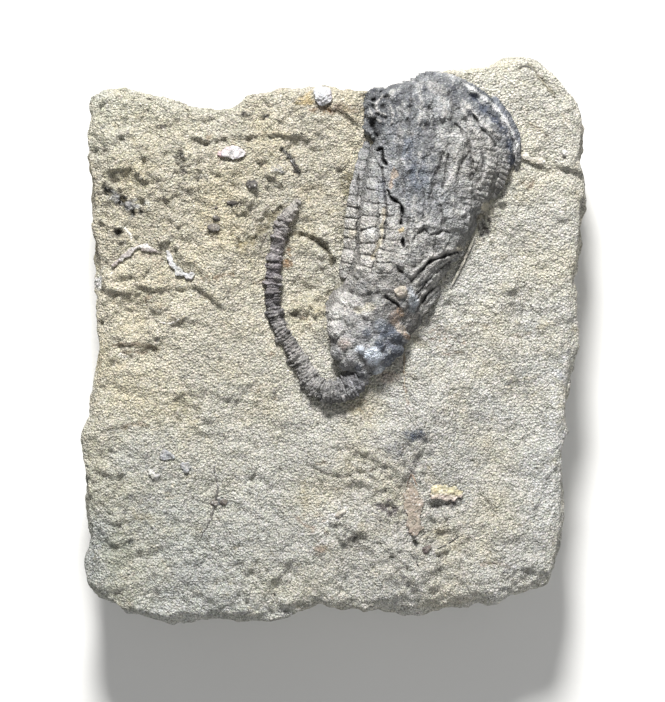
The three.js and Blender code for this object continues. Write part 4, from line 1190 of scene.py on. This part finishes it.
# fill and gutter set the painted shade along each arm's flanks, with tan sediment on the middle left arm
armLook = {
    "voxel": 0.15, "grow": 0.5, "pitch": 1.7, "rows": 1, "suture": 0.2, "seam": 0.18, "bead": 0.08,
    "step": 0.3, "tilt": 0.35, "rough": 0.15, "crisp": 1.0, "tone": 0.30, "shadow": 0.8, "gutter": 0.35,
    "fill": "darkAndShade", "burial": 1.2, "burialEdge": 1.3, "flatAbove": 1.2, "flatten": 0.55, "fibre": 0.03,
    "tipSink": 0.9, "clods": 0.0, "layer": 200,
}
foldedLook = dict(armLook, pitch=1.9, suture=0.1, step=0.16, rough=0.24, fibre=0.22, grow=0.3)
armLooks = {
    "arm_left_outer": dict(armLook, pitch=2.1, bead=0.14, seam=0.24, layer=201),
    "arm_left_inner": dict(armLook, pitch=2.4, bead=0.16, seam=0.22, layer=211),
    "arm_middle_left": dict(armLook, pitch=2.1, bead=0.14, seam=0.24, fill="tan", layer=221),
    "arm_centre_a": dict(armLook, pitch=1.6, rough=0.2, rows=2, layer=231),
    "arm_centre_b": dict(armLook, pitch=1.5, rough=0.2, rows=2, layer=241),
    "arm_centre_c": dict(armLook, pitch=1.5, rough=0.2, rows=2, layer=251),
    "arm_right_a": dict(armLook, pitch=1.15, bead=0.22, seam=0.28, rough=0.16, grow=0.35, layer=261),
    "arm_right_b": dict(armLook, pitch=1.05, bead=0.22, seam=0.28, rough=0.15, grow=0.35, layer=271),
    "arm_right_c": dict(armLook, pitch=1.0, bead=0.20, seam=0.28, rough=0.15, grow=0.3, layer=281),
    "arm_right_outer": dict(
        armLook, pitch=2.6, suture=0.12, step=0.1, rough=0.2, fibre=0.14, crisp=0.5, tipSink=1.8,
        flatAbove=0.8, layer=291,
    ),
    "arm_folded_upper": dict(foldedLook, tipSink=0.1, layer=301),
    "arm_folded_lower": dict(foldedLook, tipSink=1.0, layer=311),
    "arm_broken_tip": dict(armLook, pitch=1.4, suture=0.1, rough=0.45, clods=1.3, tipSink=0.2, layer=321),
}


def makeCup():
    look = {
        "voxel": 0.19, "grow": 0.5, "burial": 1.2, "burialEdge": 1.3, "chips": 0.3, "rough": 0.2,
        "valleyShade": 0.6, "mottle": 0.25,
    }
    piece, p, n = started("cup", look["voxel"], 8)
    widen(p, n, look["grow"])
    bury(p, look["burial"], look["burialEdge"])
    upper = ease(n[:, 2] * 1.5 + 0.7)
    tint = 0.95 * crownTint(p)
    height = applyKnobs(p, tint, -0.25)
    height += look["chips"] * clods(p, 0.9, 340, 4)
    height += look["rough"] * layeredNoise(p, 1.1, 3, 345)
    p += n * (upper * height)[:, None]
    # the cup is painted darker between its knobs, as painted shade
    blend(tint, look["valleyShade"] * ease(-0.05 - height), tints["valleyShade"])
    tint *= (1.05 + look["mottle"] * layeredNoise(p, 1.2, 3, 350))[:, None]
    p[:, 2] += upper * applyMarks(p, tint, crownLines, crownPatches, 150)
    return finished(piece, p, tint, calciteMaterial, ["cup"])


makeMass()
for armName, armSettings in armLooks.items():
    makeArm(armName, armSettings)
makeCup()


print("stage: stem")
stemZones = [
    (-6.5, 24, 2.5, (170, 165, 157)), (-9.5, 18, 3, (156, 150, 148)), (-11, 11, 3, (120, 114, 116)),
    (-11, 5, 2.5, (124, 121, 121)), (-9, 0, 2.5, (146, 142, 138)), (-6, -5, 2.5, (146, 143, 139)),
    (-1, -9.5, 3, (150, 148, 145)), (4, -7.5, 2.5, (124, 124, 128)),
]


def makeStem():
    look = {
        "voxel": 0.12, "pitch": 0.56, "disc": 0.24, "grow": 0.02, "burial": 0.8, "burialEdge": 1.1,
        "hub": (0.68, 0.53), "slices": 44, "spikes": 0.5, "tipSink": 1.1, "gaps": 0.65, "pale": 0.45,
    }
    piece, p, n = started("stem", look["voxel"], 9)
    low, high = p[:, :2].min(0), p[:, :2].max(0)
    route = routeOf(p, low + (high - low) * look["hub"], look["slices"])
    along = fromRoute(p, route)[1]
    bury(p, look["burial"], look["burialEdge"])
    phase = (along + 0.22 * noise(p, 1.2, 400) + 0.08 * noise(p, 0.4, 402)) / look["pitch"]
    disc = np.floor(phase)
    inner = np.abs(phase - disc - 0.5) * 2
    order = disc.astype(np.int64) + 1000
    tone = rowTone(order, 3, 41)
    wide = rowTone(order, 5, 41)
    clear = 0.45 + 0.5 * ease((16 - p[:, 1]) / 8)
    clear = clear * (0.45 + 0.75 * ease(0.5 + noise(p, 0.9, 440)))
    height = look["disc"] * clear * (0.4 - inner ** 2) + look["grow"]
    spikes = ease((wide - 0.5) * 5) * ease(0.25 + 1.6 * noise(p, 0.8, 405))
    height += look["spikes"] * spikes + 0.22 * (wide - 0.5)
    height += 0.26 * layeredNoise(p, 1.1, 3, 410) + 0.10 * noise(p, 0.3, 415)
    p += n * height[:, None]
    p[:, 2] -= look["tipSink"] * ease((p[:, 1] - 21.5) / 3.5)
    mottle = 0.7 * (tone - 0.5) + 0.34 * layeredNoise(p, 1.3, 3, 430)
    tint = zoneTint(p, stemZones) * (0.88 + 0.05 * ease(p[:, 1] / 8) + mottle)[:, None]
    blend(tint, look["gaps"] * clear * ease((inner - 0.45) * 2.4), tints["discGap"])
    pale = ease(layeredNoise(p, 1.4, 3, 420) * 1.4 - 0.3)
    blend(tint, look["pale"] * pale, tints["lime"])
    return finished(piece, p, tint, stemMaterial, ["stem"])


makeStem()


print("stage: small fossils")


def finishSmall(piece, colour, look, layer, nodes=()):
    p, n = pointsOf(piece.data), normalsOf(piece.data)
    bury(p, look["sink"], look["sinkEdge"])
    stands = p[:, 2] - ground.at(p)
    p[:, 2] -= np.maximum(stands - look["flat"], 0) * look["press"]
    ragged = layeredNoise(p, 1.2, 4, layer + 6)
    p += n * (1, 1, 0) * (look["grow"] + look["ragged"] * ragged)[:, None]
    height = layeredNoise(p, 0.9, 3, layer + 4) + 0.8 * clods(p, look["clod"], layer, 3)
    p += n * (look["rough"] * height)[:, None]
    tint = shade(*colour) * (0.88 + 0.3 * layeredNoise(p, 0.8, 3, layer + 9))[:, None]
    spots = ease(layeredNoise(p, 0.9, 2, layer + 15) * 2 - 0.5)
    blend(tint, look["spots"] * spots, tints["spots"])
    if look["below"]:
        share = ease(1.2 * (look["below"] - p[:, 1]) + 0.5 + 0.6 * noise(p, 1.0, layer + 13))
        blend(tint, share, shade(*look["fade"]))
    elif look["fade"]:
        share = look["fadeShare"] * ease(1.4 * noise(p, 1.6, layer + 11) + 0.4)
        blend(tint, share, shade(*look["fade"]))
    # each small piece is painted darker and browner near the stone, as painted shade at its foot
    edge = ease(0.45 - (p[:, 2] - ground.at(p)))
    blend(tint, look["footShade"] * edge, tints["footShade"])
    material = stainedMaterial if look["slot"] == "stained_shell" else shellMaterial
    return finished(piece, p, tint, material, nodes)


smallLook = {
    "sink": 0.5, "flat": 0.6, "grow": 0.15, "ragged": 0.3, "clod": 0.8, "rough": 0.12, "fade": None,
    "fadeShare": 0.7, "below": None, "slot": "shell_calcite", "sinkEdge": 0.9, "press": 0.75,
    "spots": 0.5, "footShade": 0.55, "voxel": 0.13, "relax": 14,
}
stainedLook = dict(smallLook, slot="stained_shell", sink=0.4)
flatLook = dict(smallLook, ragged=0.35, flat=0.2, rough=0.3)
smallNodes = {
    "shell_edge_left": (
        (196, 191, 187), dict(smallLook, flat=0.3, grow=0.0, ragged=0.4, rough=0.22, fade=(146, 134, 128)),
    ),
    "shell_edge_right": (
        (212, 212, 211), dict(smallLook, flat=0.45, grow=0.05, ragged=0.32, rough=0.22, fade=(148, 144, 138)),
    ),
    "shell_edge_crown": (
        (206, 201, 188), dict(smallLook, sink=0.4, grow=0.1, ragged=0.35, rough=0.2, fade=(168, 160, 142)),
    ),
    "spine": ((206, 200, 186), dict(smallLook, sink=0.0, grow=0.02, ragged=0.05, rough=0.03, flat=0.4)),
    "ossicle_top": ((204, 203, 205), dict(smallLook, sink=0.0, flat=1.2, rough=0.3, fade=(172, 170, 172))),
    "ossicle_oval": ((218, 212, 213), dict(smallLook, flat=0.6, rough=0.16, fade=(184, 166, 168))),
    "ossicle_small": ((92, 88, 84), dict(smallLook, rough=0.3, ragged=0.5)),
    "ossicle_low_a": (
        (184, 185, 187), dict(flatLook, ragged=0.45, flat=0.22, rough=0.34, fade=(134, 135, 138)),
    ),
    "ossicle_low_b": ((184, 185, 186), dict(flatLook, fade=(140, 140, 138))),
    "ossicle_low_c": ((194, 192, 188), dict(flatLook, fade=(160, 158, 148))),
    "plate_fragment": (
        (196, 188, 156),
        dict(stainedLook, grow=0.4, ragged=0.7, rough=0.3, fade=(194, 180, 168), below=-28.0),
    ),
    "shell_wedge": (
        (168, 155, 141), dict(stainedLook, grow=0.1, ragged=0.8, flat=0.12, rough=0.2, fade=(150, 138, 124)),
    ),
}
for number, (node, (colour, look)) in enumerate(smallNodes.items()):
    piece = remesh(copyOf(node), look["voxel"], look["relax"])
    finishSmall(piece, colour, look, 500 + 20 * number, [node])

# loose bits too small for the frame: name, place, sizes, turn, colour and lift
chips = [
    ("seen_chip_dark_a", (-18.3, 24.2), (1.1, 0.55, 0.6), 10, (84, 78, 74), 0.0),
    ("seen_chip_dark_b", (-21.7, 19.7), (1.0, 0.65, 0.6), -10, (92, 88, 84), 0.0),
    ("seen_chip_dark_c", (-21.3, 21.5), (0.45, 0.4, 0.4), 0, (88, 82, 76), 0.0),
    ("seen_chip_dark_d", (-21.3, 23.3), (0.4, 0.35, 0.3), 0, (98, 90, 84), 0.0),
    ("seen_chip_dark_f", (-15.2, 27.6), (0.9, 0.55, 0.6), 30, (82, 78, 74), 0.0),
    ("seen_chip_dark_g", (-19.8, -29.4), (0.7, 0.6, 0.5), 0, (104, 98, 98), 0.0),
    ("seen_chip_dark_h", (-21.5, -29.5), (0.6, 0.55, 0.5), 0, (96, 90, 88), 0.0),
    ("seen_chip_tan", (11.7, 8.3), (1.25, 1.0, 0.8), 20, (192, 182, 168), 1.15),
    ("seen_chip_pink", (-20.6, 33.0), (0.8, 0.7, 0.5), 0, (190, 168, 166), 0.0),
    ("seen_chip_pale_a", (0.8, -31.5), (1.2, 0.6, 0.5), 30, (212, 206, 192), 0.0),
    ("seen_chip_pale_b", (41.2, 33.1), (0.5, 0.45, 0.35), 0, (228, 226, 220), 0.0),
    ("seen_chip_pale_c", (-32.6, -24.4), (1.1, 0.45, 0.4), -35, (222, 220, 214), 0.0),
    ("seen_chip_dark_e", (16.2, -37.6), (1.0, 0.5, 0.4), 30, (104, 94, 92), 0.0),
]
chipLook = dict(
    smallLook, sink=0.2, flat=0.5, ragged=0.35, clod=0.6, rough=0.16, grow=0.0, fade=(136, 128, 116),
    fadeShare=0.4,
)
for number, (name, (x, y), sizes, turn, colour, lifted) in enumerate(chips):
    bm = bmesh.new()
    bmesh.ops.create_icosphere(bm, subdivisions=4, radius=1.0)
    base = float(ground.at(np.array([[x, y, 0.0]]))[0]) + lifted
    place = Matrix.Translation((x * unit + middle.x, y * unit + middle.y, (base + 0.1) * unit))
    bmesh.ops.scale(bm, vec=tuple(s * unit for s in sizes), verts=bm.verts)
    bmesh.ops.transform(bm, matrix=place @ Matrix.Rotation(math.radians(turn), 4, "Z"), verts=bm.verts)
    look = dict(chipLook, flat=chipLook["flat"] + lifted + 0.3 * (lifted > 0))
    finishSmall(pieceFrom(name, bm), colour, look, 900 + 20 * number)


# thin threads and cracks on the stone: name, route, half width, height over the stone and colour
threads = [
    ("seen_thread_low", [(-21.3, -22.4), (-21.5, -23.7), (-21.0, -26.9), (-21.7, -30.1),
     (-22.6, -33.2), (-24.7, -36.9)], 0.22, 0.18, (80, 78, 74)),
    ("seen_thread_slope", [(17.6, -37.9), (19.6, -37.0), (21.4, -35.8),
     (23.2, -34.6)], 0.17, 0.05, (62, 60, 58)),
    ("seen_thread_ledge", [(15.0, -35.4), (16.8, -34.4), (18.6, -34.0),
     (20.5, -33.1)], 0.14, 0.04, (84, 80, 72)),
    # a dark strip standing in for the shade inside a crack
    ("seen_thread_crack_shade", [(14.1, -38.5), (14.6, -39.3), (14.4, -40.2),
     (15.0, -41.3)], 0.16, 0.05, (34, 33, 33)),
    ("seen_thread_left", [(12.6, -26.8), (13.1, -25.4), (13.5, -24.4), (14.1, -25.5),
     (14.7, -26.9)], 0.15, 0.08, (150, 128, 112)),
    ("seen_thread_long", [(12.0, -0.6), (12.3, -3.4), (12.3, -8.2),
     (12.9, -12.2)], 0.11, 0.04, (146, 134, 112)),
    ("seen_thread_arc", [(32.3, 47.9), (34.0, 48.9), (35.3, 48.6),
     (36.0, 47.7)], 0.24, 0.10, (92, 90, 84)),
    ("seen_thread_arc_low", [(36.2, 47.3), (37.4, 46.0), (38.6, 44.6),
     (39.5, 43.5)], 0.12, 0.05, (130, 124, 108)),
    ("seen_thread_oval", [(-9.9, 34.2), (-8.7, 32.9), (-7.6, 31.4),
     (-6.6, 29.4)], 0.20, 0.10, (66, 64, 62)),
    ("seen_thread_pale", [(33.0, -42.0), (34.6, -40.6), (36.0, -39.2)], 0.13, 0.06, (222, 220, 212)),
    ("seen_thread_pit", [(-39.2, 20.4), (-37.8, 19.6), (-36.8, 18.4),
     (-36.5, 17.2)], 0.34, 0.15, (206, 202, 190)),
    ("seen_thread_inner", [(-29.2, 14.4), (-28.6, 13.0), (-27.2, 11.9),
     (-26.0, 11.4)], 0.18, 0.05, (98, 94, 86)),
    ("seen_thread_small", [(-31.4, 2.7), (-29.6, 2.5), (-28.2, 3.2),
     (-27.0, 4.4)], 0.26, 0.15, (206, 202, 194)),
]


threadLook = {"sides": 8, "steps": 10, "swell": 0.35, "wobble": 0.10, "tone": 0.3}


def makeThread(name, route, half, tall, colour, layer):
    route = smoothRoute(route, threadLook["steps"])
    bm = bmesh.new()
    bmesh.ops.create_circle(bm, segments=threadLook["sides"], radius=half * unit, cap_ends=True)
    rings = [list(bm.verts)]
    face = list(bm.faces)
    for _ in route[1:]:
        made = bmesh.ops.extrude_face_region(bm, geom=face)["geom"]
        face = [g for g in made if isinstance(g, bmesh.types.BMFace)]
        rings.append([g for g in made if isinstance(g, bmesh.types.BMVert)])
    bm.verts.index_update()
    order = [[v.index for v in ring] for ring in rings]
    bmesh.ops.recalc_face_normals(bm, faces=bm.faces)
    piece = pieceFrom(name, bm)
    flat = pointsOf(piece.data)
    offsets = flat.copy()
    total = len(route) - 1
    for step, ring in enumerate(order):
        here = route[step]
        ahead = route[min(step + 1, total)] - route[max(step - 1, 0)]
        ahead = ahead / np.hypot(*ahead)
        narrow = math.sqrt(max(0.05, math.sin(math.pi * min(max(step / total, 0.03), 0.97)))) ** 0.7
        section = flat[ring] + (middle.x / unit, middle.y / unit, 0)
        width = section[:, 0] * narrow * (1 + threadLook["swell"] * math.sin(2.1 * step + layer))
        base = ground.at(np.array([[here[0], here[1], 0.0]]))[0] + tall - half
        offsets[ring, 0] = here[0] - ahead[1] * width
        offsets[ring, 1] = here[1] + ahead[0] * width
        offsets[ring, 2] = base + section[:, 1] * narrow
    offsets[:, :2] += threadLook["wobble"] * drift(offsets, 0.8, layer, 2)
    putPoints(piece.data, offsets)
    bm = bmesh.new()
    bm.from_mesh(piece.data)
    bmesh.ops.recalc_face_normals(bm, faces=bm.faces)
    bm.to_mesh(piece.data)
    bm.free()
    mottle = threadLook["tone"] * noise(offsets, 0.7, layer + 3)
    paint(piece.data, shade(*colour) * (1 + mottle)[:, None])
    return dress(piece, shellMaterial)


for number, (name, route, half, tall, colour) in enumerate(threads):
    makeThread(name, route, half, tall, colour, 1300 + 10 * number)


# high parts stand nearer the foot of the slab than the outlines they were laid out by
lean = {"plane": facePlane, "towards": (-0.54, -33.8), "reach": 449.0}


def leanBack(piece):
    p = pointsOf(piece.data)
    over = np.maximum(p[:, 2] - lean["plane"], 0) / lean["reach"]
    p[:, :2] += (np.array(lean["towards"]) - p[:, :2]) * over[:, None]
    putPoints(piece.data, p)


for piece in dressed:
    leanBack(piece)

print("stage: studio")
studio = {
    "elevation": 86.0, "distance": 0.45, "aim": (-0.54, -2.42), "lens": 129.2, "floor": 0.9,
    "key": 6.3, "keyPlace": (-0.04, 0.40, 0.34), "keySize": 0.14,
    "fill": 0.85, "fillPlace": (0.16, -0.30, 0.36), "fillSize": 0.5, "world": 0.20,
}


def makeStudio():
    bm = bmesh.new()
    bmesh.ops.create_grid(bm, x_segments=8, y_segments=8, size=studio["floor"] / 2)
    floor = pieceFrom("floor", bm)
    book = Book("floor paper")
    cloud = book.noise(60, 2.0, 0.5)
    fibre = book.noise(0.9, 2.0, 0.5)
    colour = book.mix(cloud, colour4(shade(222, 221, 218)), colour4(shade(228, 227, 224)))
    floor.data.materials.append(book.finish(colour, 0.85 + 0.05 * fibre, book.bump(fibre, 0.02)))
    floor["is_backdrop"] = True

    for name in ("key", "fill"):
        light = bpy.data.lights.new(name, "AREA")
        light.shape = "DISK"
        light.size = studio[name + "Size"]
        light.energy = studio[name]
        lamp = bpy.data.objects.new(name, light)
        lamp.location = studio[name + "Place"]
        lamp.rotation_euler = (-Vector(lamp.location)).to_track_quat("-Z", "Y").to_euler()
        bpy.context.collection.objects.link(lamp)
        lamp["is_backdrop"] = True

    world = bpy.data.worlds.new("studio")
    world.use_nodes = True
    background = world.node_tree.nodes["Background"].inputs
    background["Color"].default_value = (0.95, 0.97, 1.0, 1.0)
    background["Strength"].default_value = studio["world"]
    bpy.context.scene.world = world
    bpy.context.scene.view_settings.view_transform = "Standard"

    camera = bpy.data.objects.new("camera", bpy.data.cameras.new("camera"))
    tilt = math.radians(studio["elevation"])
    x, y = studio["aim"]
    aim = Vector((x * unit + middle.x, y * unit + middle.y, facePlane * unit))
    back = Vector((0, -math.cos(tilt), math.sin(tilt)))
    camera.location = aim + back * studio["distance"]
    camera.rotation_euler = (-back).to_track_quat("-Z", "Y").to_euler()
    camera.data.lens = studio["lens"]
    camera.data.sensor_width = 36
    camera.data.clip_start = 0.01
    bpy.context.collection.objects.link(camera)
    bpy.context.scene.camera = camera


makeStudio()

counts = {o.name: sum(len(f.vertices) - 2 for f in o.data.polygons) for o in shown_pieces()}
print("triangles", sum(counts.values()), "largest", max(counts.values()), "pieces", len(counts))

bpy.context.view_layer.update()
